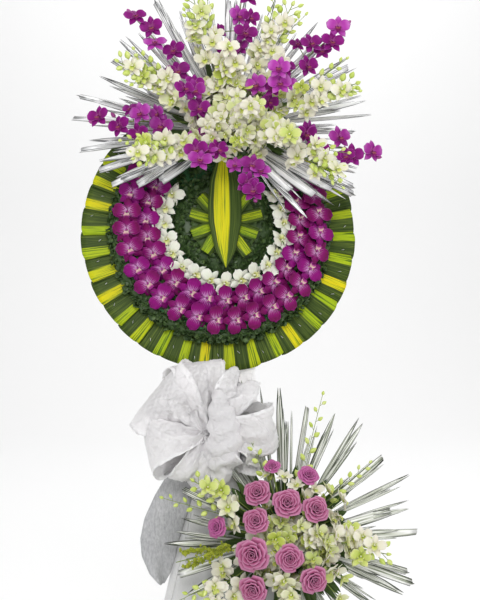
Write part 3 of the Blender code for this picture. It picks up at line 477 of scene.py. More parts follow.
bud_purple = leaf_material("bud_purple", 0.5, 6.0, [(0.3, (0.24, 0.02, 0.16)), (0.7, (0.44, 0.1, 0.34))])
golden = leaf_material("goldenrod_florets", 0.7, 6.0, [
    (0.3, (0.16, 0.25, 0.02)), (0.5, (0.38, 0.43, 0.03)), (0.7, (0.66, 0.64, 0.1))])
print("leaf materials", len(bpy.data.materials))

# %% [markdown]
# ## Variegated leaves
#
# The leaves of the collar are dark green with a lime and yellow band down one side, cut by thin dark lines.
# A picture would show its repeats. So the band is a stretch of u with an edge that the broad streaks make
# uneven, and `tint` moves it and makes some of the leaves more yellow.

# %% The variegated material
BAND_SLOPE, LINE_WIDTH = 24.0, 0.06
LIME, YELLOW = (0.27, 0.44, 0.01), (0.8, 0.62, 0.006)
PALE_CORE, LINE_GREEN = (0.44, 0.54, 0.02), (0.05, 0.12, 0.01)


def variegated_material(name, band_low, band_high, yellow, dark_lines=0.42):
    """A leaf whose band lies between two places across it, cut by the darkest streaks."""
    made, tree, shader = material(name, 0.5, Specular_IOR_Level=0.12)
    tint, across = reading(tree, "tint"), uv_of(tree)[1]
    marks = use(tree, streaks, {"Fineness": 30.0, "Shift": scaled(tree, tint, TINT_SHIFT)})
    moved = sums(tree, "ADD", across, scaled(tree, tint, 0.16, -0.08))
    u = sums(tree, "ADD", moved, scaled(tree, marks["Broad"], 0.3, -0.15))
    past_low = scaled(tree, u, BAND_SLOPE, -BAND_SLOPE * band_low, clamp=True)
    before_high = scaled(tree, u, -BAND_SLOPE, BAND_SLOPE * band_high, clamp=True)
    dark = ramp(tree, marks["Fine"], [(0.3, (0.023, 0.046, 0.007)), (0.55, (0.054, 0.085, 0.016)),
                                      (0.68, (0.125, 0.175, 0.026))])
    golden_share = scaled(tree, sums(tree, "POWER", tint, 2.0), yellow, 0.1, clamp=True)
    lines = ramp(tree, marks["Fine"], [(dark_lines, 0.0), (dark_lines + LINE_WIDTH, 1.0)])
    bright = mix(tree, lines, LINE_GREEN, mix(tree, golden_share, LIME, YELLOW))
    core = scaled(tree, marks["Broad"], 3.0, -1.0, clamp=True)
    bright = mix(tree, scaled(tree, core, 0.5), bright, PALE_CORE)
    colour = mix(tree, scaled(tree, past_low, before_high), dark, bright)
    tree.links.new(colour, shader.inputs["Base Color"])
    bump(tree, shader, marks["Fine"], 0.5, 0.0007)
    return made


collar_leaf = variegated_material("collar_leaf", 0.56, 0.97, 1.1)
folded_leaf = variegated_material("folded_leaf", 0.18, 0.8, 0.5, 0.5)
hanging_look = variegated_material("hanging_leaf", 0.34, 0.84, 1.5)
print("variegated materials", collar_leaf.name, folded_leaf.name, hanging_look.name)

# %% [markdown]
# ## Cloth
#
# The skirt and the tail are felted, the band and the bow are crisp with fine creases, and the bow has a
# turned hem and lets some light through. Creases could be modelled, but these are a millimetre deep, so a
# bump serves: lines where cells of a Voronoi texture meet, bent by a soft noise.

# %% The cloth material
CREASE_SCALE, CREASE_BEND, HEM_COLOUR = 38.0, (0.05, 0.05, 0.05), (0.97, 0.96, 0.97)


def creases_in(tree):
    """A height that falls to 0 along crossing lines."""
    place = object_place(tree)
    crumpled = add(tree, "ShaderNodeTexNoise", {"Vector": place, "Scale": 26.0, "Detail": 3.0})
    moved = add(tree, "ShaderNodeMapping", {"Vector": place, "Location": (0.3, 0.1, 0.2)})
    shifted = add(tree, "ShaderNodeVectorMath", {0: crumpled.outputs["Color"], 1: CREASE_BEND},
                  operation="MULTIPLY")
    bent = add(tree, "ShaderNodeVectorMath", {0: moved.outputs[0], 1: shifted.outputs[0]}, operation="ADD")
    values = {"Vector": bent.outputs[0], "Scale": CREASE_SCALE}
    cells = add(tree, "ShaderNodeTexVoronoi", values, feature="DISTANCE_TO_EDGE")
    return scaled(tree, cells.outputs[0], 5.0, clamp=True)


def cloth_material(name, low, high, fibre_size, roughness, sheen=0.2, strength=0.2, creases=0.0, hem=0.0,
                   glow=0.0):
    """Felted or woven cloth: a fibre over soft clouds, and where asked for creases and a turned hem."""
    made, tree, shader = material(name, roughness, Sheen_Weight=sheen, Sheen_Roughness=0.5,
                                  Subsurface_Weight=glow, Subsurface_Radius=(0.012, 0.012, 0.012),
                                  Subsurface_Scale=1.0)
    marks = use(tree, fibre, {"Size": fibre_size})
    both = scaled(tree, marks["Fibre"], 0.65, scaled(tree, marks["Cloud"], 0.35))
    colour = ramp(tree, both, [(0.32, low), (0.66, high)])
    if hem:
        turned_edge = scaled(tree, from_middle(tree, uv_of(tree)[1]), 90.0, -38.0, clamp=True)
        colour = mix(tree, scaled(tree, turned_edge, hem), colour, HEM_COLOUR)
    tree.links.new(colour, shader.inputs["Base Color"])
    if creases:
        height = scaled(tree, marks["Fibre"], 0.06, scaled(tree, creases_in(tree), creases))
        if hem:
            height = scaled(tree, turned_edge, 0.25, height)
        bump(tree, shader, height, 0.8, 0.004)
    else:
        bump(tree, shader, marks["Fibre"], strength, 0.0006)
    return made


bow_cloth = cloth_material("bow_cloth", (0.87, 0.85, 0.86), (0.965, 0.945, 0.955), 900.0, 0.75, creases=0.3,
                           hem=0.6, glow=0.5)
# The band's cloth is painted light: it is pale and lets no light through, so it shows lighter than the bow's
# cloth and lifts the band out of the shadow that the bow casts on it.
band_cloth_painted_light = cloth_material("band_cloth_painted_light", (0.84, 0.82, 0.83), (0.92, 0.9, 0.91), 900.0, 0.75, creases=0.15)
felt = cloth_material("felt_cloth", (0.27, 0.275, 0.285), (0.55, 0.55, 0.56), 260.0, 0.9, 0.3, 0.5)
skirt_cloth = cloth_material("skirt_cloth", (0.58, 0.58, 0.58), (0.68, 0.68, 0.68), 500.0, 0.85)
print("cloth materials", bow_cloth.name, band_cloth_painted_light.name, felt.name, skirt_cloth.name)

# %% [markdown]
# ## Wood, foam and wire
#
# The stand is of plain wood, the foam is a dark green mass of fine cells, and the staples are bright wire.
# Pictures of them would do too, but they are nearly hidden, so a noise drawn out along z and a few nodes
# more are enough.

# %% Wood, foam and wire
wood, tree, shader = material("stand_wood", 0.65)
grain_place = add(tree, "ShaderNodeMapping", {"Vector": object_place(tree), "Scale": (60.0, 60.0, 4.0)})
grain = clouds(tree, grain_place.outputs[0], 1.0, 4.0)
browns = [(0.3, (0.22, 0.12, 0.055)), (0.5, (0.36, 0.22, 0.11)), (0.7, (0.46, 0.3, 0.16))]
tree.links.new(ramp(tree, grain, browns), shader.inputs["Base Color"])
tree.links.new(scaled(tree, grain, 0.3, 0.5), shader.inputs["Roughness"])
bump(tree, shader, grain, 0.4, 0.001)

foam, tree, shader = material("flower_foam", 0.95)
cells = add(tree, "ShaderNodeTexVoronoi", {"Vector": object_place(tree), "Scale": 420.0}).outputs[0]
greens = [(0.0, (0.012, 0.05, 0.018)), (0.6, (0.04, 0.14, 0.05))]
tree.links.new(ramp(tree, cells, greens), shader.inputs["Base Color"])
bump(tree, shader, cells, 0.6, 0.001)

wire, tree, shader = material("staple_wire", 0.3, Metallic=1.0)
scratches = ramp(tree, clouds(tree, object_place(tree), 900.0), [(0.3, 0.6), (0.7, 0.9)])
tree.links.new(scratches, shader.inputs["Base Color"])
print("materials", len(bpy.data.materials))

# %% [markdown]
# ## Shapes
#
# A petal, a leaf or a sheet of cloth is a thin closed shell between two grids of points. It could be
# modelled by hand, but a flower grows by rules, so the points come from formulas. A shape is four arrays:
# points, faces, a UV and a `part` value for each point.

# %% Faces and shells


def grid_faces(rows, columns):
    """The four-sided faces between the points of a grid."""
    return [(r * columns + c, r * columns + c + 1, (r + 1) * columns + c + 1, (r + 1) * columns + c)
            for r in range(rows - 1) for c in range(columns - 1)]


def rim_of(rows, columns):
    """The numbers of the points round the edge of a grid."""
    rim = list(range(columns)) + [r * columns + columns - 1 for r in range(1, rows)]
    rim += [(rows - 1) * columns + c for c in range(columns - 2, -1, -1)]
    return rim + [r * columns for r in range(rows - 2, 0, -1)]


def shell(front, thickness, part=0.0):
    """A closed shell behind a grid of points; rows run along it and columns across it."""
    rows, columns = front.shape[:2]
    down, over = np.gradient(front, axis=0), np.gradient(front, axis=1)
    normal = np.cross(over, down)
    normal = normal / np.maximum(np.linalg.norm(normal, axis=2, keepdims=True), 1e-12)
    back = front - normal * thickness
    count = rows * columns
    faces = grid_faces(rows, columns)
    faces += [tuple(count + i for i in reversed(face)) for face in faces]
    rim = rim_of(rows, columns)
    faces += [(b, a, a + count, b + count) for a, b in zip(rim, rim[1:] + rim[:1])]
    v, u = np.meshgrid(np.linspace(0, 1, rows), np.linspace(0, 1, columns), indexing="ij")
    uv = np.stack([u.ravel(), v.ravel()], axis=1)
    points = np.concatenate([front.reshape(-1, 3), back.reshape(-1, 3)])
    return points, faces, np.concatenate([uv, uv]), np.full(2 * count, part)


print("faces of a grid of 3 by 3", len(grid_faces(3, 3)))

# %% Tubes


def ring_faces(rings, sides, closed=False):
    """The faces of a tube of rings, with a face over each end, or closed on itself."""
    steps = rings if closed else rings - 1
    faces = [(i * sides + k, i * sides + (k + 1) % sides, (i + 1) % rings * sides + (k + 1) % sides,
              (i + 1) % rings * sides + k) for i in range(steps) for k in range(sides)]
    ends = [tuple(reversed(range(sides))), tuple((rings - 1) * sides + k for k in range(sides))]
    return faces if closed else faces + ends


def tube(path, radius, sides=6, tip=1.0, part=0.0):
    """A round stem along a path; tip is the last radius over the first."""
    path = [Vector(place) for place in path]
    side = (path[1] - path[0]).orthogonal().normalized()
    points, uv = [], []
    for i, place in enumerate(path):
        way = (path[min(i + 1, len(path) - 1)] - path[max(i - 1, 0)]).normalized()
        side = (side - way * side.dot(way)).normalized()
        other = way.cross(side)
        size = radius * (1 + (tip - 1) * i / (len(path) - 1))
        for k in range(sides):
            a = tau * k / sides
            points.append(place + side * size * cos(a) + other * size * sin(a))
            uv.append((k / sides, i / (len(path) - 1)))
    return np.array(points), ring_faces(len(path), sides), np.array(uv), np.full(len(points), part)


print("faces of a tube of 3 rings", len(ring_faces(3, 6)))

# %% Putting shapes together


def together(shapes):
    """Several shapes as one."""
    points, faces, uv, part, base = [], [], [], [], 0
    for shape in shapes:
        points.append(shape[0])
        faces += [tuple(base + i for i in face) for face in shape[1]]
        uv.append(shape[2])
        part.append(shape[3])
        base += len(shape[0])
    return np.concatenate(points), faces, np.concatenate(uv), np.concatenate(part)


def carried(shape, matrix):
    """A shape moved by a matrix."""
    turn = np.array(matrix.to_3x3())
    return (shape[0] @ turn.T + np.array(matrix.translation), *shape[1:])


def mesh_from(name, shape, look=None, tint=None):
    """A smooth mesh with a UV map and the values `part` and `tint` on its points."""
    points, faces, uv, part = shape
    mesh = bpy.data.meshes.new(name)
    mesh.from_pydata(points.tolist(), [], faces)
    layer = mesh.uv_layers.new(name="UVMap")
    corners = np.zeros(len(mesh.loops), dtype=np.int32)
    mesh.loops.foreach_get("vertex_index", corners)
    layer.data.foreach_set("uv", uv[corners].astype(np.float32).ravel())
    mesh.attributes.new("part", "FLOAT", "POINT").data.foreach_set("value", part.astype(np.float32))
    if tint is not None:
        values = np.broadcast_to(np.asarray(tint, dtype=np.float32), len(points))
        mesh.attributes.new("tint", "FLOAT", "POINT").data.foreach_set("value", values.copy())
    mesh.shade_smooth()
    if look:
        mesh.materials.append(look)
    return mesh


print("shapes can be joined, moved and made meshes")

# %% Directions and places
# In the frame of a face, FRONT looks out at the viewer and TALL runs up.
RIGHT, TALL, FRONT = Vector((1, 0, 0)), Vector((0, 1, 0)), Vector((0, 0, 1))


def turned_to(x, y, z, place):
    """The matrix with these local axes at a place."""
    matrix = Matrix((x, y, z)).transposed().to_4x4()
    matrix.translation = place
    return matrix


def aimed(place, forward, up):
    """The matrix with +Z along forward and +Y near up, at a place."""
    z = forward.normalized()
    x = up.cross(z).normalized()
    return turned_to(x, z.cross(x), z, place)


def lying(place, way, facing):
    """The matrix with +Y along a way and +Z near facing, at a place."""
    side = way.cross(facing).normalized()
    return turned_to(side, way, side.cross(way), place)


def spoke(angle):
    """The unit vector at an angle in the plane of a face."""
    return Vector((cos(angle), sin(angle), 0))


def rising(angle, lift):
    """The unit vector at an angle in the plane of a face, lifted out of it."""
    return Vector((cos(angle) * cos(lift), sin(angle) * cos(lift), sin(lift)))


def level(way):
    """The part of a vector that lies in the plane of a face."""
    return Vector((way.x, way.y, 0))


def wobble(draw, reach):
    """A small random vector."""
    return Vector([draw.uniform(-reach, reach) for _ in range(3)])


print("a spoke at 60 degrees", [round(v, 3) for v in spoke(radians(60))])

# %% [markdown]
# ## Geometry Nodes
#
# The wreath has hundreds of blooms and thousands of leaves, each a copy of a few templates. Python could
# join copies one by one, but Geometry Nodes do it in one step. `place_copies` sets a template on each point
# of a mesh, and `scatter_copies` strews templates over a surface by a fixed seed.

# %% The tree place_copies


def node_tree(name, inputs):
    """A Geometry Nodes tree: the tree, what it is given and its output node."""
    made = bpy.data.node_groups.new(name, "GeometryNodeTree")
    made.is_modifier = True
    for label, kind in [("Geometry", "Geometry")] + inputs:
        made.interface.new_socket(label, in_out="INPUT", socket_type="NodeSocket" + kind)
    made.interface.new_socket("Geometry", in_out="OUTPUT", socket_type="NodeSocketGeometry")
    return made, add(made, "NodeGroupInput").outputs, add(made, "NodeGroupOutput")


def templates_in(tree, collection):
    """The templates of a collection, each as an instance of its own."""
    values = {"Collection": collection, "Separate Children": True, "Reset Children": True}
    return add(tree, "GeometryNodeCollectionInfo", values).outputs[0]


def end_tree(tree, copies, given, out):
    """Makes the copies real, gives them their material and puts them out."""
    real = add(tree, "GeometryNodeRealizeInstances", {"Geometry": copies})
    values = {"Geometry": real.outputs[0], "Material": given["Material"]}
    dressed = add(tree, "GeometryNodeSetMaterial", values)
    tree.links.new(dressed.outputs[0], out.inputs[0])


tree, given, out = node_tree("place_copies", [("Templates", "Collection"), ("Material", "Material")])
turn, size, pick = (
    add(tree, "GeometryNodeInputNamedAttribute", {"Name": label}, data_type=kind).outputs[0]
    for label, kind in (("turn", "QUATERNION"), ("size", "FLOAT_VECTOR"), ("pick", "INT")))
copies = add(tree, "GeometryNodeInstanceOnPoints", {
    "Points": given["Geometry"], "Instance": templates_in(tree, given["Templates"]),
    "Pick Instance": True, "Instance Index": pick, "Rotation": turn, "Scale": size})
end_tree(tree, copies.outputs[0], given, out)
place_copies = tree
print(tree.name, len(tree.nodes), "nodes")

# %% The tree scatter_copies
# Each copy gets a random turn, size and tint, whose seeds lie apart from the seed of the places.
SPIN_SEED, SIZE_SEED, TINT_SEED = 11.0, 23.0, 47.0
tree, given, out = node_tree("scatter_copies", [
    ("Templates", "Collection"), ("Material", "Material"), ("Density", "Float"), ("Seed", "Int"),
    ("Smallest", "Float"), ("Largest", "Float"), ("Tilt", "Float")])
spots = add(tree, "GeometryNodeDistributePointsOnFaces", {
    "Mesh": given["Geometry"], "Density": given["Density"], "Seed": given["Seed"]})
back = sums(tree, "MULTIPLY", given["Tilt"], -1.0)
low = add(tree, "ShaderNodeCombineXYZ", {0: back, 1: back, 2: -pi})
high = add(tree, "ShaderNodeCombineXYZ", {0: given["Tilt"], 1: given["Tilt"], 2: pi})
spin, grow, tint = (
    add(tree, "FunctionNodeRandomValue", {"Seed": sums(tree, "ADD", given["Seed"], shift)}, data_type=kind)
    for kind, shift in (("FLOAT_VECTOR", SPIN_SEED), ("FLOAT", SIZE_SEED), ("FLOAT", TINT_SEED)))
for least, greatest, limits in ((low.outputs[0], high.outputs[0], spin.inputs[:2]),
                                (given["Smallest"], given["Largest"], grow.inputs[2:4])):
    tree.links.new(least, limits[0])
    tree.links.new(greatest, limits[1])
values = {"Rotation": spots.outputs["Rotation"], "Rotate By": spin.outputs[0]}
turned = add(tree, "FunctionNodeRotateRotation", values, rotation_space="LOCAL")
copies = add(tree, "GeometryNodeInstanceOnPoints", {
    "Points": spots.outputs[0], "Instance": templates_in(tree, given["Templates"]),
    "Pick Instance": True, "Rotation": turned.outputs[0], "Scale": grow.outputs[1]})
values = {"Geometry": copies.outputs[0], "Name": "tint", "Value": tint.outputs[1]}
marked = add(tree, "GeometryNodeStoreNamedAttribute", values, data_type="FLOAT", domain="INSTANCE")
end_tree(tree, marked.outputs[0], given, out)
scatter_copies = tree
print(tree.name, len(tree.nodes), "nodes")

# %% Running a tree


def read_back(item, modifier):
    """The mesh that a modifier makes of an object, which then goes."""
    made = bpy.data.meshes.new_from_object(item.evaluated_get(bpy.context.evaluated_depsgraph_get()))
    item.modifiers.remove(modifier)
    bpy.data.objects.remove(item)
    return made


def run_tree(tree, base, values):
    """The mesh that a tree makes of a base mesh, with its inputs set by name."""
    item = linked("base", base)
    modifier = item.modifiers.new("nodes", "NODES")
    modifier.node_group = tree
    sockets = {socket.name: socket.identifier for socket in tree.interface.items_tree
               if socket.in_out == "INPUT"}
    for label, value in values.items():
        modifier[sockets[label]] = value
    item.update_tag()
    return read_back(item, modifier)


def template(name, shapes):
    """A collection of template objects, kept out of the scene."""
    store = bpy.data.collections.new(name)
    for number, shape in enumerate(shapes):
        store.objects.link(bpy.data.objects.new(f"{name}_{number}", mesh_from(f"{name}_{number}", shape)))
    return store


def placed(name, spots, store, look, seed="draw"):
    """Copies of templates at spots (matrix, size of one or three numbers, tint or None)."""
    rng = random.Random(seed + name)
    base = bpy.data.meshes.new(name)
    base.from_pydata([tuple(matrix.translation) for matrix, _, _ in spots], [], [])
    turns, sizes, tints, picks = [], [], [], []
    for matrix, scale, tint in spots:
        turns.append(tuple(matrix.to_3x3().normalized().to_quaternion()))
        sizes.append(scale if hasattr(scale, "__len__") else (scale,) * 3)
        tints.append(rng.random() if tint is None else tint)
        picks.append(rng.randrange(len(store.objects)))
    for label, kind, values in (("turn", "QUATERNION", turns), ("size", "FLOAT_VECTOR", sizes),
                                ("tint", "FLOAT", tints), ("pick", "INT", picks)):
        key = "vector" if label == "size" else "value"
        base.attributes.new(label, kind, "POINT").data.foreach_set(key, np.array(values).ravel())
    made = run_tree(place_copies, base, {"Templates": store, "Material": look})
    print(f"  {name}: {len(spots)} copies, {len(made.polygons)} faces")
    return made


def strewn(name, base, density, seed, smallest, largest, tilt=0.7):
    """Small dark leaves strewn over a base mesh."""
    values = {"Templates": small_leaves, "Material": dark_leaf, "Density": density, "Seed": seed,
              "Smallest": smallest, "Largest": largest, "Tilt": tilt}
    made = run_tree(scatter_copies, base, values)
    print(f"  {name}: {len(made.polygons)} faces")
    return made


print("trees can be run")

# %% Finishing a piece


def joined(name, meshes):
    """One object out of several meshes, each with its own materials."""
    parts = [linked(name, mesh) for mesh in meshes]
    if len(parts) > 1:
        chosen = {"selected_editable_objects": parts, "selected_objects": parts}
        with bpy.context.temp_override(active_object=parts[0], **chosen):
            bpy.ops.object.join()
    parts[0].data.name = name
    return parts[0]


def finished(piece, slot, *nodes):
    """Sets a piece on the frame, in the place of its CAD nodes."""
    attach(piece, "root")
    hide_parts(*nodes)
    triangles = sum(len(face.vertices) - 2 for face in piece.data.polygons)
    print(piece.name, "stands for", ", ".join(nodes), "-", triangles, "triangles")
    return piece


print("pieces can be finished")

# %% [markdown]
# ## Orchid blooms
#
# An orchid has three narrow sepals, two broad petals before them, a cupped lip with two wings and a small
# column. A flat card with a picture would do from far away, but blooms here are turned every way and shade
# each other, so each part is a bent shell. A bloom has radius 1 and looks along +Z.

# %% Petals and outlines


def petal(length, half, outline, lift, bend, cup, wave=0.0, rows=7, columns=5, thickness=0.012, part=0.0,
          phase=0.0):
    """A petal along +Y that faces +Z, lifted at its foot, bent along and cupped across."""
    t = np.linspace(0, 1, rows)
    s = np.linspace(-1, 1, columns)
    angle = lift + bend * t
    step = length / (rows - 1)
    y = np.concatenate([[0], np.cumsum(np.cos(angle[1:]) * step)])
    z = np.concatenate([[0], np.cumsum(np.sin(angle[1:]) * step)])
    wide = half * np.maximum(outline(t), 0.1)
    grid = np.zeros((rows, columns, 3))
    grid[..., 0] = wide[:, None] * s
    grid[..., 1] = y[:, None] - length * 0.06 * (s ** 2) * (t[:, None] > 0.9)
    grid[..., 2] = z[:, None] + cup * wide[:, None] * s ** 2
    grid[..., 2] += wave * length * np.sin(7 * t[:, None] + phase) * np.abs(s) * t[:, None]
    return shell(grid, thickness, part)


def broad(t):
    """The outline of a round petal, widest past its middle."""
    return np.sin(np.pi * t ** 1.15) ** 0.5


def narrow(t):
    """The outline of a pointed sepal."""
    return np.sin(np.pi * t ** 0.8) ** 0.85


print("half width at the middle", round(float(broad(0.5)), 2), round(float(narrow(0.5)), 2))

# %% The orchid bloom


def orchid(seed, openness=0.0, width=1.0):
    """A whole bloom of radius 1."""
    rng = random.Random(seed)
    shapes = []

    def set_round(shape, heading, place):
        turn = Matrix.Rotation(radians(heading), 4, "Z")
        shapes.append(carried(shape, Matrix.Translation(place) @ turn))

    for heading in (90, 232, 308):
        sepal = petal(0.98, 0.29 * width, narrow, -0.05 + openness + rng.uniform(-0.08, 0.08),
                      rng.uniform(-0.25, 0.1), rng.uniform(-0.1, 0.25), 0.02, rows=6, columns=3,
                      phase=rng.uniform(0, 6))
        set_round(sepal, heading - 90 + rng.uniform(-4, 4), (0, 0, -0.03))
    for heading in (14, 166):
        side_petal = petal(1.0, 0.45 * width, broad, 0.1 + openness + rng.uniform(-0.08, 0.08),
                           rng.uniform(-0.25, 0.05), rng.uniform(0.0, 0.3), 0.03, phase=rng.uniform(0, 6))
        set_round(side_petal, heading - 90 + rng.uniform(-4, 4), (0, 0, 0.02))
    lip = petal(0.46, 0.19, broad, 0.95, -1.5, 0.9, 0.04, rows=6, thickness=0.02, part=1.0)
    set_round(lip, 180, (0, -0.02, 0.06))
    for turn in (-1, 1):
        wing = petal(0.26, 0.12, broad, 1.1, -0.3, 0.3, rows=4, columns=3, thickness=0.02, part=1.0)
        set_round(wing, 180 + 55 * turn, (0.09 * turn, -0.04, 0.04))
    shapes.append(tube([(0, 0.02, -0.05), (0, 0.05, 0.12), (0, 0.0, 0.24)], 0.075, 6, 0.8, part=0.55))
    return together(shapes)


orchids = template("orchid_bloom", [orchid(f"bloom {i}", 0.04 * i) for i in range(4)])
slim_orchids = template("slim_orchid", [orchid(f"slim {i}", 0.06 + 0.16 * i, 0.86) for i in range(4)])

# %% The bud


def bud_shape(fat):
    """A closed bud of length 1 along +Z; fat is its greatest radius."""
    heights, sides = np.linspace(0.02, 0.98, 6), 6
    points = []
    for v in heights:
        size = fat * sin(pi * v ** 0.8) ** 0.7
        points += [(size * cos(tau * k / sides), size * sin(tau * k / sides), v)
                   for k in range(sides)]
    uv = np.array([(k / sides, v) for v in heights for k in range(sides)])
    return np.array(points), ring_faces(len(heights), sides), uv, np.zeros(len(points))


buds = template("orchid_bud", [bud_shape(0.3), bud_shape(0.36)])

# %% [markdown]
# ## Roses
#
# Petals of a rose wrap round its axis in a spiral, climb and curl outwards at the rim. A spiral sheet in
# one piece would be simpler, but it shows no petal edges, and those are what make a rose.

# %% The rose


def rose_petal(turn, rim, height, spread, curl, point, rng):
    """One wrapped petal: rim radius, height of the rim, half angle, outward curl and pointedness."""
    foot = -0.42
    t = np.linspace(0, 1, 8)[:, None]
    s = np.linspace(-1, 1, 7)[None, :]
    climb = height * (1 - 0.18 * np.abs(s) ** 2.0)
    radius = rim * (0.3 + 0.7 * t ** 0.7) * (1 + 0.1 * s)
    radius = radius + rim * curl * np.maximum(t - 0.62, 0) ** 1.4 * 3.2
    radius = radius * (1 + point * (1 - np.abs(s)) ** 2 * t ** 4)
    z = foot + (climb - foot) * np.minimum(t / 0.8, 1.0) ** 1.1
    z = z - rim * curl * np.maximum(t - 0.78, 0) * 1.2
    angle = turn + s * spread * (0.35 + 0.65 * np.sin(np.pi * (0.12 + 0.68 * t)))
    ripple = 0.02 * np.sin(4 * s + rng.uniform(0, 6)) * t
    x, y = -(radius + ripple) * np.sin(angle), (radius + ripple) * np.cos(angle)
    return shell(np.stack([x, y, z + 0 * s], axis=2), 0.018)


# A layer is its count of petals, rim radius, height, half angle, curl and pointedness.
ROSE_LAYERS = (
    (4, 0.12, 0.66, 1.5, 0.05, 0.00),
    (4, 0.22, 0.66, 1.1, 0.1, 0.00),
    (5, 0.34, 0.62, 0.95, 0.18, 0.02),
    (5, 0.48, 0.54, 0.9, 0.26, 0.04),
    (5, 0.62, 0.42, 0.86, 0.36, 0.08),
    (4, 0.72, 0.24, 0.98, 0.46, 0.12),
)


def rose(seed, opening=1.0):
    """A rose of radius 1 that faces +Z."""
    rng = random.Random(seed)
    shapes = []
    turn = rng.uniform(0, 6)
    for count, rim, height, spread, curl, point in ROSE_LAYERS:
        opened = rim * (1 if rim < 0.4 else opening)
        for _ in range(count):
            turn += tau / count + rng.uniform(-0.12, 0.12)
            top = height + rng.uniform(-0.03, 0.03)
            shapes.append(rose_petal(turn, opened, top, spread, curl, point, rng))
        turn += 0.6
    return together(shapes)


roses = template("rose_head", [rose("rose a"), rose("rose b", 0.97), rose("rose c")])

# %% [markdown]
# ## Blades, small leaves and florets
#
# A silvered palm leaf is a narrow blade folded along its middle, of length 1 and half width 1 before it is
# sized. The small leaves are nearly round, and a floret is a tiny flower. Cards with a picture would be
# lighter, but shells of a few dozen faces catch the light.

# %% Silver blades


def blade(end, seed):
    """A folded blade along +Y; end is its width at the tip over its widest."""
    rng = random.Random(seed)
    t = np.linspace(0, 1, 10)[:, None]
    s = np.linspace(-1, 1, 5)[None, :]
    wide = np.where(t < 0.5, 0.3 + 0.7 * np.sin(np.pi * t),
                    1 - (1 - end) * np.maximum((t - 0.5) / 0.5, 0) ** 2.8)
    fold = 0.55 * (1 - np.abs(s)) * wide
    sway = 0.5 * np.sin(np.pi * t * rng.uniform(0.8, 1.4)) * rng.uniform(-1, 1)
    ripple = 0.16 * np.sin(11 * t + rng.uniform(0, 6)) * np.abs(s)
    along = t + 0 * s - 0.015 * np.abs(s) * (t > 0.95)
    return shell(np.stack([s * wide + 0.4 * sway, along, fold + ripple + sway], axis=2), 0.1)


blades = template("silver_blade", [blade(0.08, "a"), blade(0.3, "b"), blade(0.15, "c")])
cut_blades = template("silver_cut_blade", [blade(0.9, "d"), blade(0.75, "e")])

# %% Small leaves and florets


def small_leaf(seed):
    """A small round leaf of length 1, lifted off the bed."""
    rng = random.Random(seed)
    return petal(1.0, 0.42, broad, rng.uniform(0.2, 0.7), rng.uniform(-0.6, 0.2), 0.35, rows=4, columns=3,
                 thickness=0.05)


def floret(seed, count=5):
    """A tiny flower of radius 1 with pointed petals."""
    rng = random.Random(seed)
    return together([
        carried(petal(1.0, 0.34, narrow, 0.5 + rng.uniform(-0.2, 0.2), -0.3, 0.4, rows=3, columns=3,
                      thickness=0.12), Matrix.Rotation(tau * i / count, 4, "Z")) for i in range(count)])


small_leaves = template("small_leaf", [small_leaf(f"leaf {i}") for i in range(4)])
florets = template("floret", [floret("floret a"), floret("floret b", 4)])
print("templates", len(bpy.data.collections))

# %% [markdown]
# ## The collar
#
# The collar is made of 34 folded leaves, each lying on the next and held by a wire staple. One flat ring
# with a picture of leaves would lose the steps and shadows between them, so each leaf is a shell of its
# own, made by one rule with small random changes.

# %% Collar and staples
COLLAR_LEAVES, COLLAR_INNER, COLLAR_OUTER = 34, 0.185, 0.304
COLLAR_LOW, COLLAR_RISE, COLLAR_STEP, COLLAR_THICKNESS = 0.0003, 0.0016, 0.004, 0.0012
LEAF_SPAN, LEAF_START = 1.14, 0.02


def collar_grid(leaf, lift, grow, bulge, bow_out, rows=9, columns=11):
    """The front of one leaf, a little wider than its share of the ring."""
    grid = np.zeros((rows, columns, 3))
    for r, c in np.ndindex(rows, columns):
        out_by, share = r / (rows - 1), c / (columns - 1) * LEAF_SPAN - LEAF_START
        angle = tau * (leaf + share) / COLLAR_LEAVES
        edge = 1 - abs(2 * c / (columns - 1) - 1) ** 6
        height = COLLAR_LOW + COLLAR_RISE + COLLAR_STEP * max(share, 0) * 0.92 + lift * out_by
        height += bulge * (edge - 0.6) + 0.0006 * bow_out * sin(3.2 * out_by + leaf)
        reach = COLLAR_INNER + (COLLAR_OUTER * grow - COLLAR_INNER) * out_by
        rim = reach + 0.0022 * (edge - 1) * out_by
        rim -= 0.003 * max(share - 0.85, 0) / 0.27 * out_by
        grid[r, c] = (rim * cos(angle), rim * sin(angle), height)
    return grid


STAPLE_HEIGHT, STAPLE_WIRE = 0.0047, 0.00055
rng, draw = random.Random("collar"), random.Random("collar tint")
shapes, tints, staple_spots = [], [], []
for leaf in range(COLLAR_LEAVES):
    lift, grow = rng.uniform(0.0, 0.001), rng.uniform(0.99, 1.006)
    tint, bulge, bow_out = draw.random(), draw.uniform(0.0012, 0.0022), draw.uniform(-0.4, 1.0)
    shape = shell(collar_grid(leaf, lift, grow, bulge, bow_out)[:, ::-1], COLLAR_THICKNESS)
    shape[2][:, 0] = 1 - shape[2][:, 0]
    shapes.append(carried(shape, disc))
    tints.append(np.full(len(shape[0]), tint))
    angle = tau * (leaf + 0.3 + draw.uniform(-0.06, 0.06)) / COLLAR_LEAVES
    reach = draw.uniform(0.262, 0.284)
    spot = Vector((reach * cos(angle), reach * sin(angle), STAPLE_HEIGHT))
    turn = Matrix.Rotation(angle + draw.uniform(0.2, 1.1), 4, "Z")
    staple_spots.append((disc @ Matrix.Translation(spot) @ turn, 1.0, None))
collar_mesh = mesh_from("leaf_collar_dress", together(shapes), collar_leaf, np.concatenate(tints))
staple_path = [(-0.0036, 0, -0.0012), (-0.0034, 0, 0.0004), (0.0034, 0, 0.0004), (0.0036, 0, -0.0012)]
staples = placed("staples", staple_spots, template("staple", [tube(staple_path, STAPLE_WIRE, 5)]), wire)
finished(joined("folded_leaf_collar", [collar_mesh, staples]), "variegated_leaf", "leaf_collar")

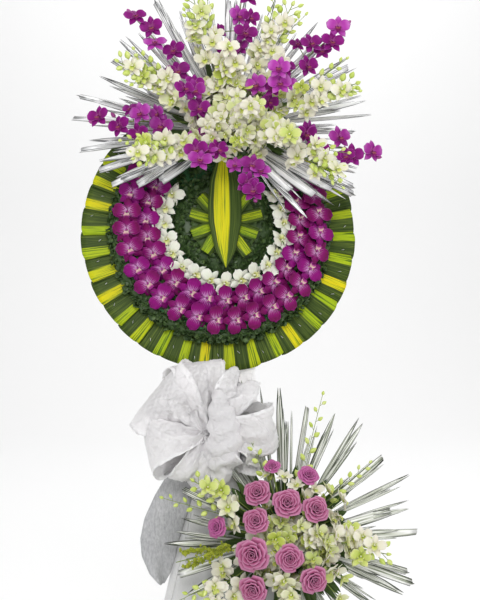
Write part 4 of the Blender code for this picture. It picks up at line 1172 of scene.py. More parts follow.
# %% [markdown]
# ## Beds of small leaves
#
# Small dark leaves cover the side of the foam and fill the middle. They are strewn over a closed ring of
# dark ground, and the seed decides where each one lands. Leaves set one by one would look sorted, and a
# leaf texture alone would have no edge against the light.

# %% Beds of small leaves


def ring_grid(rings, count):
    """A closed ring of points through circles of (radius, height)."""
    points = [(r * cos(a), r * sin(a), z)
              for a in np.linspace(0, tau, count, endpoint=False) for r, z in rings]
    faces = ring_faces(count, len(rings), closed=True)
    return np.array(points), faces, np.zeros((len(points), 2)), np.zeros(len(points))


BEDS = (
    ("outer", disc, 19000, 5,
     ((0.2225, 0.007), (0.2225, 0.0285), (0.23, 0.0295), (0.238, 0.02), (0.24, 0.0075))),
    ("inner", rows_face, 16000, 8,
     ((0.0245, 0.0305), (0.0245, 0.037), (0.05, 0.04), (0.08, 0.04), (0.106, 0.036),
      (0.108, 0.0305))),
)
for bed, face, density, seed, rings in BEDS:
    ground = mesh_from(bed + "_bed_base", carried(ring_grid(rings, 60), face), dark_leaf, 0.3)
    leaves = strewn(bed + "_bed_leaves", ground, density, seed, 0.01, 0.016)
    finished(joined(bed + "_bed_of_leaves", [ground, leaves]), "dark_leaf", bed + "_leaf_bed")

# %% [markdown]
# ## Rows of orchids
#
# Three rings of blooms stand in the foam, two purple and one white, each bloom leaning out and a little
# over the next. A plain circular array would show its rule at once, so each bloom draws its own angle, tilt
# and size from a seed.

# %% Rows of orchids
FOAM_FRONT, FOOT_GAP = 0.03, 0.0005
ROW_START, ROW_TURN, ROW_HEIGHT = radians(150), radians(240), 0.045
ROW_TILT, ROW_SHINGLE, STALK_RADIUS = radians(15), radians(10), 0.0016
# A row is its piece, node, radius, count, bloom size and seed.
ROWS = (("outer_purple_orchids", "purple_orchid_outer_row", 0.2102, 22, 0.03, "outer row"),
        ("inner_purple_orchids", "purple_orchid_inner_row", 0.167, 19, 0.03, "inner row"),
        ("ring_of_white_orchids", "white_orchid_row", 0.1255, 17, 0.0255, "white row"))
for name, node, radius, count, size, seed in ROWS:
    rng = random.Random(seed)
    if "purple" in node:
        store, look, slot, grown, turned, pushed = orchids, purple, "purple_petal", 1.13, 1, 0
    else:
        store, look, slot, grown, turned, pushed = slim_orchids, white, "white_petal", 1.2, 5, 0.0045
    spots, stems = [], []
    for i in range(count):
        angle = ROW_START + ROW_TURN * i / (count - 1) + rng.uniform(-0.012, 0.012)
        outward, onward = spoke(angle), Vector((-sin(angle), cos(angle), 0))
        facing = FRONT + outward * tan(ROW_TILT + rng.uniform(-0.05, 0.05))
        facing += onward * tan(ROW_SHINGLE + rng.uniform(-0.05, 0.05))
        place = outward * (radius + rng.uniform(-0.0015, 0.0015)) + FRONT * ROW_HEIGHT
        up = -onward + outward * rng.uniform(-0.15, 0.15) * turned
        matrix = aimed(place + outward * pushed - FRONT * (0.7 * pushed), facing, up)
        spots.append((rows_face @ matrix, size * rng.uniform(0.96, 1.03) * grown, None))
        foot = outward * radius + FRONT * (FOAM_FRONT + FOOT_GAP)
        stalk = tube([foot, place - facing.normalized() * 0.001], STALK_RADIUS, 6)
        stems.append(carried(stalk, rows_face))
    parts = [placed(name, spots, store, look), mesh_from(name + "_stalks", together(stems), stem_green, 0.5)]
    finished(joined(name, parts), slot, node)

# %% [markdown]
# ## The middle of the disc
#
# The middle holds a star of folded leaf pieces with plain ones between them, and one broad folded leaf hangs
# over it from the top spray. A leaf is given by a few stations along it, each with a width, a fold and a
# rise. That is easier to change than a sculpted mesh.

# %% Centre star
STAR_THICKNESS = 0.001


def folded(stations, thickness, rows=16, columns=9, ripple=0.0):
    """A leaf folded along its middle through stations (along, half width, fold, rise)."""
    marks = np.array(stations)
    t = np.linspace(0, 1, rows)
    along = marks[0, 0] + (marks[-1, 0] - marks[0, 0]) * t
    half, fold, rise = (np.interp(along, marks[:, 0], marks[:, k]) for k in (1, 2, 3))
    half = np.maximum(half, 0.0006)
    s = np.linspace(-1, 1, columns)
    grid = np.zeros((rows, columns, 3))
    grid[..., 0] = half[:, None] * s
    grid[..., 1] = along[:, None]
    grid[..., 2] = rise[:, None] + fold[:, None] * (1 - np.abs(s)) ** 1.4
    grid[..., 2] += ripple * np.sin(9 * t[:, None]) * s
    return shell(grid, thickness)


def star_leaf(length, middle, end, rows, columns):
    """A leaf piece with a half width at its middle and one at its end."""
    stations = ((0, 0.006, 0, 0), (length * 0.5, middle, 0.003, 0), (length, end, 0.001, 0))
    return folded(stations, STAR_THICKNESS, rows, columns)


STAR_FOOT, STAR_HEIGHT, BETWEEN_HEIGHT, STAR_LIFT = 0.008, 0.0525, 0.047, 5
rng, draw = random.Random("leaf star"), random.Random("star tint")
shapes, tints = [], []
for azimuth in (14, 50, 132, 164, 200, 236, 306, 340):
    a = radians(azimuth)
    way = rising(a, radians(STAR_LIFT + rng.uniform(-1, 1)))
    place = Vector((STAR_FOOT * cos(a), STAR_FOOT * sin(a), STAR_HEIGHT))
    leaf = star_leaf(rng.uniform(0.066, 0.078), 0.015, 0.014, 12, 9)
    shapes.append(carried(leaf, rows_face @ lying(place, way, FRONT)))
    tints.append(np.full(len(leaf[0]), draw.random()))
star = mesh_from("star", together(shapes), folded_leaf, np.concatenate(tints))
shapes = []
for azimuth in (32, 91, 112, 148, 182, 218, 258, 286, 323, 357):
    turn = Matrix.Rotation(radians(azimuth - 90), 4, "Z")
    leaf = star_leaf(draw.uniform(0.064, 0.076), 0.0175, 0.01, 10, 7)
    shapes.append(carried(leaf, rows_face @ (Matrix.Translation((0, 0, BETWEEN_HEIGHT)) @ turn)))
between = mesh_from("between", together(shapes), plain_leaf, 0.4)
finished(joined("star_of_leaves", [star, between]), "variegated_leaf", "centre_leaf_star")

# %% Hanging leaf
TOP_X, TOP_Y, TOP_RADIUS, TOP_DEPTH, CLEARANCE = 0.018, 0.225, 0.06, 0.055, 0.0003
HANG_LEFT, HANG_FOOT = 0.013, -0.088
hang_top = TOP_Y - TOP_RADIUS - CLEARANCE
length = hang_top - HANG_FOOT
stations = ((0, 0.012, 0.002, 0.072), (length * 0.25, 0.032, 0.006, 0.07),
            (length * 0.45, 0.0365, 0.008, 0.067), (length * 0.6, 0.036, 0.008, 0.066),
            (length * 0.85, 0.022, 0.006, 0.068), (length, 0.001, 0, 0.072))
hanging = disc @ Matrix.Translation((TOP_X - HANG_LEFT, hang_top, 0)) @ Matrix.Rotation(pi, 4, "Z")
leaf = carried(folded(stations, 0.0014, 24, 11, 0.0008), hanging)
finished(joined("hanging_leaf", [mesh_from("hanging_leaf", leaf, hanging_look, 0.62)]),
         "variegated_leaf", "centre_hanging_leaf")

# %% [markdown]
# ## Sprays
#
# A spray is a stem that stands in a block of foam and bends outwards, with blooms along its outer half and
# closed buds towards its tip. Smaller blooms, twigs of buds and a heap of short-stemmed blooms bring it to
# the density of the photo. They could be placed by hand, but one function and a table dress all the sprays.

# %% Stems and buds
STEM_DEPTH, STEM_RISE, ROOT_SPREAD, STEM_RADIUS = 0.012, 0.005, 0.75, 0.002
Block = namedtuple("Block", "place radius depth face")
top_block = Block(Vector((TOP_X, TOP_Y, FOAM_FRONT + CLEARANCE)), TOP_RADIUS, TOP_DEPTH, disc)
lower_block = Block(Vector((0, 0, 0)), 0.065, 0.06, lower)


def crown_of(block):
    """The middle of the block's front."""
    return block.place + FRONT * block.depth


def polar(azimuth, angle):
    """The unit vector at an azimuth and an angle from straight forwards, in degrees."""
    a, b = radians(azimuth), radians(angle)
    return Vector((sin(b) * cos(a), sin(b) * sin(a), cos(b)))


def root_of(block, direction):
    """Where a stem with this direction stands on the front of its block."""
    return crown_of(block) + level(direction) * block.radius * ROOT_SPREAD


def stem_path(root, direction, length, droop=0.012, parts=3):
    """A stem that stands in its hole, then leaves along a direction and droops."""
    bend = root + FRONT * STEM_RISE
    path = [root - FRONT * STEM_DEPTH, bend]
    for i in range(1, parts + 1):
        share = i / parts
        path.append(bend + direction * length * share - TALL * (droop * share * share))
    return path


def along_path(path, share):
    """The point at a share of the way along the free part of a stem."""
    runs = [(b - a).length for a, b in zip(path[1:], path[2:])]
    left = share * sum(runs)
    for (a, b), run in zip(zip(path[1:], path[2:]), runs):
        if left <= run:
            return a.lerp(b, left / run)
        left -= run
    return path[-1]


def bud_twig(foot, way, reach, across, draw, count=8):
    """A bent twig with buds to either side: stems and (matrix, size)."""
    bend, tip = foot + way * reach * 0.5 + Vector((0, 0.006, 0.004)), foot + way * reach
    stems, spots = [tube([foot, bend, tip], 0.0011, 5, 0.5)], []
    for k in range(count):
        share = 0.3 + 0.7 * k / (count - 1)
        hold = foot.lerp(bend, share * 2) if share < 0.5 else bend.lerp(tip, share * 2 - 1)
        side = across * (0.0 if k == count - 1 else 0.9 if k % 2 else -0.9)
        out_way = (way + side + FRONT * draw.uniform(0.0, 0.5)).normalized()
        stems.append(tube([hold, hold + out_way * 0.007], 0.0006, 4))
        spots.append((aimed(hold + out_way * 0.006, out_way, across), 0.0205 - 0.0105 * k / (count - 1)))
    return stems, spots


def tip_buds(path, direction, across, count, draw):
    """Buds along the last part of a stem: stems and (matrix, size)."""
    stems, spots = [], []
    for i in range(count):
        hold = along_path(path, 1.0 - 0.42 * i / count)
        way = direction + across * (0 if i == 0 else 1.0 if i % 2 else -1.0) + FRONT * 0.25
        if i:
            reach = draw.uniform(0.008, 0.024)
            stems.append(tube([hold, hold + way.normalized() * reach], 0.0007, 4))
            hold = hold + way.normalized() * (reach - 0.002)
        spots.append((aimed(hold, way, across), min(0.013 + 0.0016 * i, 0.021)))
    return stems, spots


print("a stem has", len(stem_path(root_of(top_block, FRONT), FRONT, 0.2)), "points")

# %% Blooms over the foam
GAP_DOME, GAP_DOME_DEPTH = 0.042, 0.118


def heap_places(block, azimuth, count, spread, reach, taken, draw):
    """Places over the foam, clear of taken balls; reach is least, most ahead and most to the side."""
    least, front, side = reach
    places = []
    for i in range(count):
        down = (i + draw.random()) / count
        way = polar(azimuth + draw.uniform(-spread, spread), 8 + 66 * down ** 0.8)
        place = crown_of(block) + way * draw.uniform(least, front + (side - front) * down)
        if all((place - centre).length > radius for centre, radius in taken):
            places.append(place)
    return places


def gap_places(block, gaps):
    """Places on a dome before the block, at points (x, y) where the foam would show."""
    return [block.place + Vector((x, y, block.depth - GAP_DOME_DEPTH + sqrt(GAP_DOME - x * x - y * y)))
            for x, y in gaps]


print("places over the foam ready")

# %% Dressing a spray
Kind = namedtuple("Kind", "store petals buds slot")
purple_kind = Kind(orchids, spray_purple, bud_purple, "purple_petal")
white_kind = Kind(slim_orchids, spray_white, bud_green, "white_petal")
TWIG_ANGLE, TWIG_FOOT, HEAP_FOOT = 78, 0.045, 0.03


def dress_spray(entry, block, kind, fill, more_buds, first_fill=0.15, heap=0, heap_spread=40,
                heap_reach=(0.065, 0.1, 0.1), taken=(), twigs=(), gaps=()):
    """One spray: a stem with its blooms, a fill of smaller ones, and buds.

    A heap of blooms covers the foam, and gaps are single places more. Twigs of buds are
    (azimuth, reach) from the block, or else two of them leave the stem.
    """
    node, azimuth, angle, length, blooms, bud_count = entry
    rng, draw = random.Random(node), random.Random(node + " extra")
    direction = polar(azimuth, angle)
    path = stem_path(root_of(block, direction), direction, length)
    across = direction.cross(FRONT)
    across = across.normalized() if across.length > 0.2 else RIGHT
    outward = across.cross(direction).normalized()
    stems, spots, marks = [tube(path, STEM_RADIUS * 0.8, 6, 0.6)], [], []

    def bloom(share, side, source, wander, least, greatest):
        hold = along_path(path, share)
        facing = (outward * 0.55 + direction * 0.35 + FRONT * 0.5).normalized()
        facing = (facing + wobble(source, wander)).normalized()
        place = hold + facing * 0.016 + side
        matrix = aimed(place, facing, Vector((source.uniform(-0.3, 0.3), 1, 0)))
        spots.append((block.face @ matrix, source.uniform(least, greatest) * (1.0 - 0.12 * share), None))
        bend = hold.lerp(place, 0.5) - FRONT * 0.001
        stems.append(tube([hold, bend, place - facing * 0.001], 0.001, 5))

    first, last = (0.4 if length > 0.2 else 0.52), (0.93 if bud_count < 2 else 0.84)
    for i in range(blooms):
        side = across * (0.013 if i % 2 else -0.013) * (0.4 if i == blooms - 1 else 1.0)
        bloom(first + (last - first) * i / max(blooms - 1, 1), side, rng, 0.38, 0.0285, 0.0315)
    for i in range(fill):
        share = first_fill + (last * 0.86 - first_fill) * (i + draw.random()) / fill
        side = across * draw.choice((-1, 1)) * draw.uniform(0.01, 0.034) * (1.15 - 0.5 * share)
        bloom(share, side + FRONT * draw.uniform(-0.022, 0.01), draw, 0.6, 0.021, 0.029)
    places = heap_places(block, azimuth, heap, heap_spread, heap_reach, taken, draw)
    for place in places + gap_places(block, gaps):
        way = (place - block.place - FRONT * block.depth).normalized()
        foot = crown_of(block) + level(way) * HEAP_FOOT
        facing = (way + wobble(draw, 0.45)).normalized()
        matrix = aimed(place, facing, Vector((draw.uniform(-0.6, 0.6), 1, 0)))
        spots.append((block.face @ matrix, draw.uniform(0.021, 0.028), None))
        stems.append(tube([foot, place - facing * 0.001], 0.0009, 5))

    grown = []
    for k in range(2 if more_buds > 4 and not twigs else 0):
        way = direction + across * (k * 2 - 1) * draw.uniform(0.2, 0.42) + FRONT * 0.12
        foot = along_path(path, draw.uniform(0.35, 0.55))
        grown.append(bud_twig(foot, way.normalized(), draw.uniform(0.105, 0.135), across, draw))
    for heading, reach in twigs:
        way = polar(heading, TWIG_ANGLE)
        foot = crown_of(block) + level(way) * TWIG_FOOT
        free = (reach - TWIG_FOOT) / sin(radians(TWIG_ANGLE))
        grown.append(bud_twig(foot, way, free, way.cross(FRONT).normalized(), draw, 11))
    grown.append(tip_buds(path, direction, across, bud_count + more_buds, draw))
    for more_stems, more_marks in grown:
        stems += more_stems
        marks += more_marks
    parts = [mesh_from(node + "_stem", carried(together(stems), block.face), stem_green, 0.4)]
    if spots:
        parts.append(placed(node + "_blooms", spots, kind.store, kind.petals))
    if marks:
        bud_spots = [(block.face @ matrix, size, None) for matrix, size in marks]
        parts.append(placed(node + "_buds", bud_spots, buds, kind.buds))
    return finished(joined("dressed_" + node, parts), kind.slot, node)


print("sprays can be dressed")

# %% The sprays of the top
# A spray is its node, azimuth, angle from straight forwards, length, count of blooms and count of buds.
TOP_SPRAYS = (
    ("top_purple_spray_right", -12, 83, 0.275, 5, 1),
    ("top_purple_spray_upper_right", 42, 83, 0.3, 5, 1),
    ("top_purple_spray_up", 85, 83, 0.29, 5, 1),
    ("top_purple_spray_upper_left", 132, 83, 0.28, 5, 1),
    ("top_purple_spray_left", 180, 83, 0.25, 4, 1),
    ("top_white_spray_low_right", -30, 64, 0.235, 4, 1),
    ("top_white_spray_right", 16, 66, 0.245, 4, 2),
    ("top_white_spray_high_right", 63, 66, 0.25, 4, 3),
    ("top_white_spray_high_left", 109, 66, 0.25, 4, 3),
    ("top_white_spray_left", 156, 66, 0.245, 4, 2),
    ("top_white_spray_low_left", 204, 64, 0.21, 4, 1),
    ("top_purple_front_low", -78, 58, 0.165, 3, 0),
    ("top_purple_front_low_left", 232, 44, 0.16, 3, 0),
    ("top_white_front_low_right", -26, 38, 0.165, 3, 0),
    ("top_purple_front_right", 42, 40, 0.17, 3, 0),
    ("top_white_front_up", 97, 40, 0.17, 3, 0),
    ("top_purple_front_left", 160, 38, 0.165, 3, 0),
    ("top_white_front", 30, 8, 0.15, 4, 0),
)
TOP_GAPS = ((-0.014, -0.018), (0.006, -0.022), (-0.034, -0.028), (-0.056, -0.024), (-0.048, -0.05),
            (-0.02, -0.046), (0.012, -0.05), (-0.078, -0.046))
for entry in TOP_SPRAYS:
    node, short = entry[0], "front" in entry[0]
    if "purple" in node:
        dress_spray(entry, top_block, purple_kind, 0 if "upper_left" in node else 3 - short, 1, 0.3)
    else:
        dress_spray(entry, top_block, white_kind, 12 if short else 9, 1 if short else 8,
                    0.2 if short else 0.12, heap=24 if short else 5, heap_spread=130 if short else 30,
                    gaps=TOP_GAPS if node == "top_white_front" else ())

# %% [markdown]
# ## Silver fans
#
# Silvered palm leaves stand in a ring round each foam block and radiate behind the blooms. One card for each
# would look too clean, because a real palm leaf is split. So each blade becomes a bundle, a main leaf with
# narrow splinters. Wide cut leaves stand at the sides, and green ones fill the foot.

# %% Silver fans
FAN_GAP, WIDE_RISE, BAND_WIDTH, BAND_GAP = 0.003, 0.004, 0.01, 0.0003
NARROW_SPLIT, BROAD_SPLIT = 0.1, 0.19


def silver_fan(name, node, seed, count, block, heights, reach, slope, skipped, look, splits, wide, greens):
    """The fan of one block, between two heights of its side and outside two skipped azimuths.

    Reach and slope are rules for an azimuth. A wide leaf is (azimuth, reach, half width, rise).
    """
    rng, draw = random.Random(seed), random.Random(seed + " splinters")
    least, greatest = heights
    middle = block.place.z + (least + greatest) / 2

    def start(angle, height):
        place = level(block.place) + spoke(angle) * (block.radius + FAN_GAP)
        place.z = height
        return place

    whole, cut, short = [], [], []
    for i in range(count):
        azimuth = 360 * (i + rng.uniform(-0.25, 0.25)) / count
        if skipped and skipped[0] < azimuth < skipped[1]:
            continue
        way = rising(radians(azimuth), radians(slope(azimuth) + rng.uniform(-2.5, 2.5)))
        length = reach(azimuth) * rng.uniform(0.8, 1.0) - block.radius
        half = rng.uniform(0.006, 0.01)
        facing = FRONT + wobble(rng, 0.4)
        place = start(radians(azimuth), middle + rng.uniform(-0.2, 0.2) * (greatest - least))
        for k in range(1 + splits):
            turn = way.copy()
            if k:
                apart = NARROW_SPLIT if k % 2 else BROAD_SPLIT
                turn += Vector([draw.uniform(-apart, apart) for _ in range(2)] + [draw.uniform(0, 0.1)])
                turn.normalize()
            shrink = draw.uniform(0.55, 0.98) if k else 1.0
            thin = draw.uniform(0.35, 0.7) if k else 0.95
            size = (half * thin, length * shrink, half * thin)
            spot = (block.face @ lying(place, turn, facing), size, None)
            (cut if i % 3 == 0 and not k else whole).append(spot)
    for azimuth, reach_out, half, rise in wide:
        a = radians(azimuth)
        way = Vector((cos(a), sin(a), rise)).normalized()
        matrix = lying(start(a, middle + WIDE_RISE), way, FRONT)
        cut.append((block.face @ matrix, (half, reach_out - block.radius, half), None))
    for i in range(greens):
        a, tilt = tau * (i + draw.random()) / greens, radians(draw.uniform(8, 30))
        if skipped and skipped[0] < degrees(a) < skipped[1]:
            continue
        facing = FRONT + wobble(draw, 0.5)
        place = start(a, middle + draw.uniform(0.0, 0.4) * (greatest - least))
        half = draw.uniform(0.006, 0.011)
        size = (half, draw.uniform(0.055, 0.105), half)
        short.append((block.face @ lying(place, rising(a, tilt), facing), size, None))
    inner, outer = block.radius + BAND_GAP, block.radius + BAND_WIDTH
    band = ring_grid([(inner, least), (inner, greatest), (outer, greatest), (outer, least)], 32)
    band = carried(band, block.face @ Matrix.Translation(block.place))
    parts = [mesh_from(node + "_base", band, stem_green, 0.2), placed(node + "_blades", whole, blades, look),
             placed(node + "_cut", cut, cut_blades, look),
             placed(node + "_greens", short, blades, plain_leaf)]
    return finished(joined(name, parts), "silver_leaf", node)


TOP_WIDE = (
    (208, 0.265, 0.0105, 0.16), (214, 0.245, 0.011, 0.2), (220, 0.2, 0.0115, 0.24),
    (200, 0.3, 0.009, 0.1), (190, 0.325, 0.007, 0.06), (178, 0.337, 0.0065, 0.08),
    (169, 0.33, 0.006, 0.05), (333, 0.3, 0.01, 0.14), (327, 0.262, 0.011, 0.2),
    (319, 0.24, 0.0115, 0.24), (312, 0.195, 0.011, 0.26),
)
silver_fan("fan_of_silver_leaves", "top_silver_leaves", "top fan", 36, top_block, (0.006, 0.02),
           lambda azimuth: 0.345 if 75 < azimuth < 200 else 0.31,
           lambda azimuth: 5 if 20 < azimuth < 160 else 12, (222, 308), silver, 6, TOP_WIDE, 24)

# %% The fan of the lower spray


def lower_reach(azimuth):
    """How far from the middle of the lower block its leaves reach."""
    if 120 < azimuth < 240:
        return 0.245
    return 0.35 if 50 < azimuth < 120 else 0.29


LOWER_WIDE = ((13, 0.23, 0.012, 0.05), (340, 0.28, 0.009, 0.05), (196, 0.235, 0.009, 0.06))
silver_fan("lower_fan_of_silver_leaves", "lower_silver_leaves", "lower fan", 28, lower_block, (0.024, 0.04),
           lower_reach, lambda azimuth: 0.4 if 80 < azimuth < 150 else 3, None, green_silver, 3,
           LOWER_WIDE, 46)

# %% [markdown]
# ## Roses
#
# Roses on stems stand in the lower block, with their heads on a dome, as a florist cuts the stems. Placed
# freely, each head would take three numbers and a turn. Here the table gives only where it is seen from the
# front, and the dome gives how far out it stands and which way it looks.

# %% Roses
# A rose is its node, x and y seen from the front, and radius.
ROSES = (
    ("rose_upper_left", -0.07, 0.095, 0.0275),
    ("rose_upper_middle", -0.014, 0.073, 0.0295),
    ("rose_upper_right", 0.043, 0.06, 0.027),
    ("rose_top_right", 0.037, 0.128, 0.0225),
    ("rose_top", -0.034, 0.149, 0.017),
    ("rose_left", -0.077, 0.04, 0.026),
    ("rose_far_left", -0.15, 0.029, 0.0215),
    ("rose_middle_left", -0.085, -0.025, 0.0335),
    ("rose_middle", -0.014, -0.033, 0.028),
    ("rose_lower_right", 0.035, -0.077, 0.028),
    ("rose_lower_left", -0.083, -0.092, 0.028),
)
ROSE_DOME, ROSE_DOME_CENTRE, ROSE_ROOT_SHARE = 0.205, -0.1, 0.32
BUD_LIKE_SIZE, HEAD_CLEARANCE = 0.025, 0.012
taken = []
for number, (node, x, y, size) in enumerate(ROSES):
    out_by = sqrt(ROSE_DOME ** 2 - x ** 2 - y ** 2) + ROSE_DOME_CENTRE
    head = Vector((x, y, lower_block.depth + out_by))
    taken.append((head, size + HEAD_CLEARANCE))
    root = Vector((x, y, 0)) * ROSE_ROOT_SHARE
    root.z = lower_block.depth
    facing = (head - FRONT * ROSE_DOME_CENTRE).normalized()
    path = [root - FRONT * STEM_DEPTH, root + FRONT * STEM_RISE, head - facing * size * 0.3]
    stem_shapes = [tube(path, STEM_RADIUS, 7)]
    for k in range(5):
        sepal = petal(size * 1.1, size * 0.16, narrow, -0.3, -0.5, 0.2, thickness=0.0006)
        turn = Matrix.Rotation(tau * k / 5 + number, 4, "Z")
        stem_shapes.append(carried(sepal, aimed(head - facing * size * 0.36, facing, TALL) @ turn))
    tint = 0.9 if size < BUD_LIKE_SIZE else 0.12 * (number % 4)
    spot = (lower @ aimed(head, facing, Vector((0.2, 1, 0))), size, tint)
    parts = [placed(node + "_head", [spot], roses, rose_petals_painted_light, seed=str(number)),
             mesh_from(node + "_stem", carried(together(stem_shapes), lower), stem_green, 0.3)]
    finished(joined("dressed_" + node, parts), "rose_petal", node)

# %% [markdown]
# ## White sprays and goldenrod below
#
# White orchids and twigs of buds fill in round the roses by the rule of the top spray. The goldenrod is a
# stem with short branches of tiny flowers. A cloud of points would give its colour, but the branches give
# the plume's direction.

# %% White sprays below
LOWER_SPRAYS = (
    ("lower_white_spray_left", 146, 74, 0.2, 3, 2),
    ("lower_white_spray_low_left", 211, 76, 0.215, 3, 2),
    ("lower_white_spray_right", -6, 62, 0.165, 3, 3),
    ("lower_white_spray_bottom", -86, 72, 0.19, 3, 2),
)
LEFT_SPRAY, RIGHT_SPRAY = "lower_white_spray_left", "lower_white_spray_right"
LOWER_GAPS = {
    LEFT_SPRAY: ((-0.043, 0.132), (-0.01, 0.128), (0.012, 0.11), (-0.117, 0.036), (-0.112, 0.072),
                 (-0.038, 0.004)),
    RIGHT_SPRAY: ((0.05, 0.1), (0.08, 0.098), (0.108, 0.084), (0.098, 0.045), (0.114, 0.008),
                  (0.072, -0.02))}
LOWER_TWIGS = {LEFT_SPRAY: ((161, 0.272), (111, 0.25)),
               RIGHT_SPRAY: ((42, 0.225), (76, 0.3), (-4, 0.18))}
for entry in LOWER_SPRAYS:
    twigs = LOWER_TWIGS.get(entry[0], ())
    fill = 0 if len(twigs) == 2 else 8
    dress_spray(entry, lower_block, white_kind, fill, 5, heap=44, heap_spread=84,
                heap_reach=(0.055, 0.09, 0.17), taken=taken, twigs=twigs, gaps=LOWER_GAPS.get(entry[0], ()))

# %% Goldenrod
PLUME_START, PLUME_HALF_WIDTH, BRANCHES, FLORETS_EACH = 0.4, 0.026, 48, 7
direction = polar(186, 71)
path = stem_path(root_of(lower_block, direction), direction, 0.205)
across = direction.cross(FRONT).normalized()
stems, spots = [tube(path, 0.0018, 6, 0.5)], []
draw = random.Random("goldenrod")
for i in range(BRANCHES):
    share = PLUME_START + (1 - PLUME_START) * i / (BRANCHES - 1)
    side = PLUME_HALF_WIDTH if i % 2 else -PLUME_HALF_WIDTH
    hold = along_path(path, share * 0.9) + across * side * (share - PLUME_START)
    way = direction * 0.9 + across * draw.uniform(-0.7, 0.7) + FRONT * draw.uniform(-0.2, 0.7)
    way = way.normalized()
    reach = (0.04 - 0.03 * share) * draw.uniform(0.7, 1.15)
    stems.append(tube([hold, hold + way * reach], 0.0006, 4))
    for k in range(FLORETS_EACH):
        spot = hold + way * reach * (0.25 + 0.75 * k / (FLORETS_EACH - 1)) + wobble(draw, 0.003)
        matrix = aimed(spot, way + FRONT * 0.6, across)
        spots.append((lower @ matrix, draw.uniform(0.0026, 0.0042), None))
parts = [mesh_from("goldenrod_stem", carried(together(stems), lower), stem_green, 0.7),
         placed("goldenrod_florets", spots, florets, golden)]
finished(joined("dressed_goldenrod", parts), "goldenrod", "lower_goldenrod_spray")

# %% [markdown]
# ## Sheets of cloth
#
# A skirt with a folded band hides the legs, a strip comes down from behind the disc, a felt tail hangs at
# the left, and a bow is tied over them. Cloth that hangs or is wrapped follows what it lies on, so formulas
# are enough for it, and only the bow is simulated.

# %% Cloth helpers
SHEET = 0.0008


def cloth_sheet(name, grids, look, nodes, flat):
    """A piece of cloth made of grids in the stand's own frame."""
    shapes = [carried(shell(grid, SHEET), Matrix.Translation(AXIS)) for grid in grids]
    piece = joined(name, [mesh_from(name, together(shapes), look, 0.5)])
    finished(piece, "white_cloth", *nodes)
    one_side = 0.0
    for grid in grids:
        across, down = grid[:-1, 1:] - grid[:-1, :-1], grid[1:, :-1] - grid[:-1, :-1]
        one_side += float(np.linalg.norm(np.cross(across, down), axis=2).sum())
    print(f"  {name}: area {one_side:.4f} m2, cut {flat[0]:.3f} x {flat[1]:.3f}")


def leg_share(height):
    """A leg's distance from the axis at a height, over that of its foot."""
    return 1 - (1 - LEG_GATHER) * height / HUB_BOTTOM


def outward_of(side):
    """The level normal of a side of the stand, away from its axis."""
    return Vector((side.y, -side.x, 0))


print("cloth helpers ready")

# %% [markdown]
# ## The skirt
#
# The skirt goes once round the three legs, flat against each leg and in soft folds between them, deeper
# towards the hem. It could be simulated, but a ring of points that is found at each height from where the
# legs are there never cuts through a leg.

# %% The skirt
HEM, SKIRT_TOP, SKIRT_OFFSET, HEM_WAVE, HEM_DIP = 0.015, 0.6, 0.0128, 0.01, 0.0015
SKIRT_CLEARANCE, SKIRT_ROWS, SKIRT_TAPER = 0.0015, 34, 0.13


def skirt_ring(height, straight=30, corner=7):
    """Points once round the legs at a height, with soft folds between them."""
    feet = [Vector((*foot, 0)) * leg_share(height) for foot in FEET]
    points = []
    sink = 1 - (height - HEM) / (SKIRT_TOP - HEM)
    for k in range(3):
        here, there = feet[k], feet[(k + 1) % 3]
        normal = outward_of((there - here).normalized())
        next_normal = outward_of((feet[(k + 2) % 3] - there).normalized())
        for i in range(straight):
            part = i / straight
            swell = sin(pi * part) ** 0.7
            drift = 1.3 * sin(2.2 * height * (k + 1) + k)
            fold = 0.5 + 0.5 * sin(part * (19 + 3 * k) + 1.7 * k + drift)
            fold = fold * 0.7 + 0.3 * (0.5 + 0.5 * sin(part * 41 + k * 2 + 4 * height))
            depth = SKIRT_OFFSET + SKIRT_CLEARANCE + HEM_WAVE * 1.5 * sink * swell * fold ** 1.5
            place = here.lerp(there, part) + normal * depth
            points.append((place.x, place.y, height))
        for i in range(corner):
            mixed = normal.lerp(next_normal, i / corner).normalized()
            place = there + mixed * (SKIRT_OFFSET + SKIRT_CLEARANCE)
            points.append((place.x, place.y, height))
    return points + points[:1]


skirt_grid = np.array([skirt_ring(height) for height in np.linspace(HEM, SKIRT_TOP, SKIRT_ROWS)])
skirt_grid[0, :, 2] += HEM_DIP * np.sin(np.linspace(0, 40, skirt_grid.shape[1]))
around = [sum(dist(a, b) for a, b in zip(ring, ring[1:])) for ring in (skirt_grid[0], skirt_grid[-1])]
slant = hypot(SKIRT_TOP - HEM, SKIRT_TAPER)
cloth_sheet("skirt", [skirt_grid], skirt_cloth, ("skirt_front", "skirt_left", "skirt_right"),
            (around[0], slant))

# %% [markdown]
# ## Band, tail and strip
#
# The folded band lies round the front legs with three tucks, the felt tail widens as its outline says, and
# the strip comes down from the disc to the bow. They could be draped too, but grids whose rows follow a
# measured line stay where the solids are.

# %% Folded band
BAND_LOW, BAND_HIGH, BAND_DEPTH, BAND_CLEARANCE = 0.53, 0.598, 0.013, 0.003


def front_path(height, offset, count=44):
    """Points round the front of the two front legs at a height."""
    share = leg_share(height)
    a, b = Vector((*FEET[0], 0)), Vector((*FEET[1], 0))
    normal = outward_of((b - a).normalized())
    arcs = []
    for foot, turns in ((a, np.linspace(0.8, 0.0, 6)), (b, np.linspace(0.0, 0.8, 6))):
        corner = foot.normalized()
        arcs.append([foot * share + (normal * (1 - t) + corner * t).normalized() * offset for t in turns])
    before, after = arcs
    points = before + [before[-1].lerp(after[0], i / count) for i in range(1, count)] + after
    return [Vector((p.x, p.y, height)) for p in points]


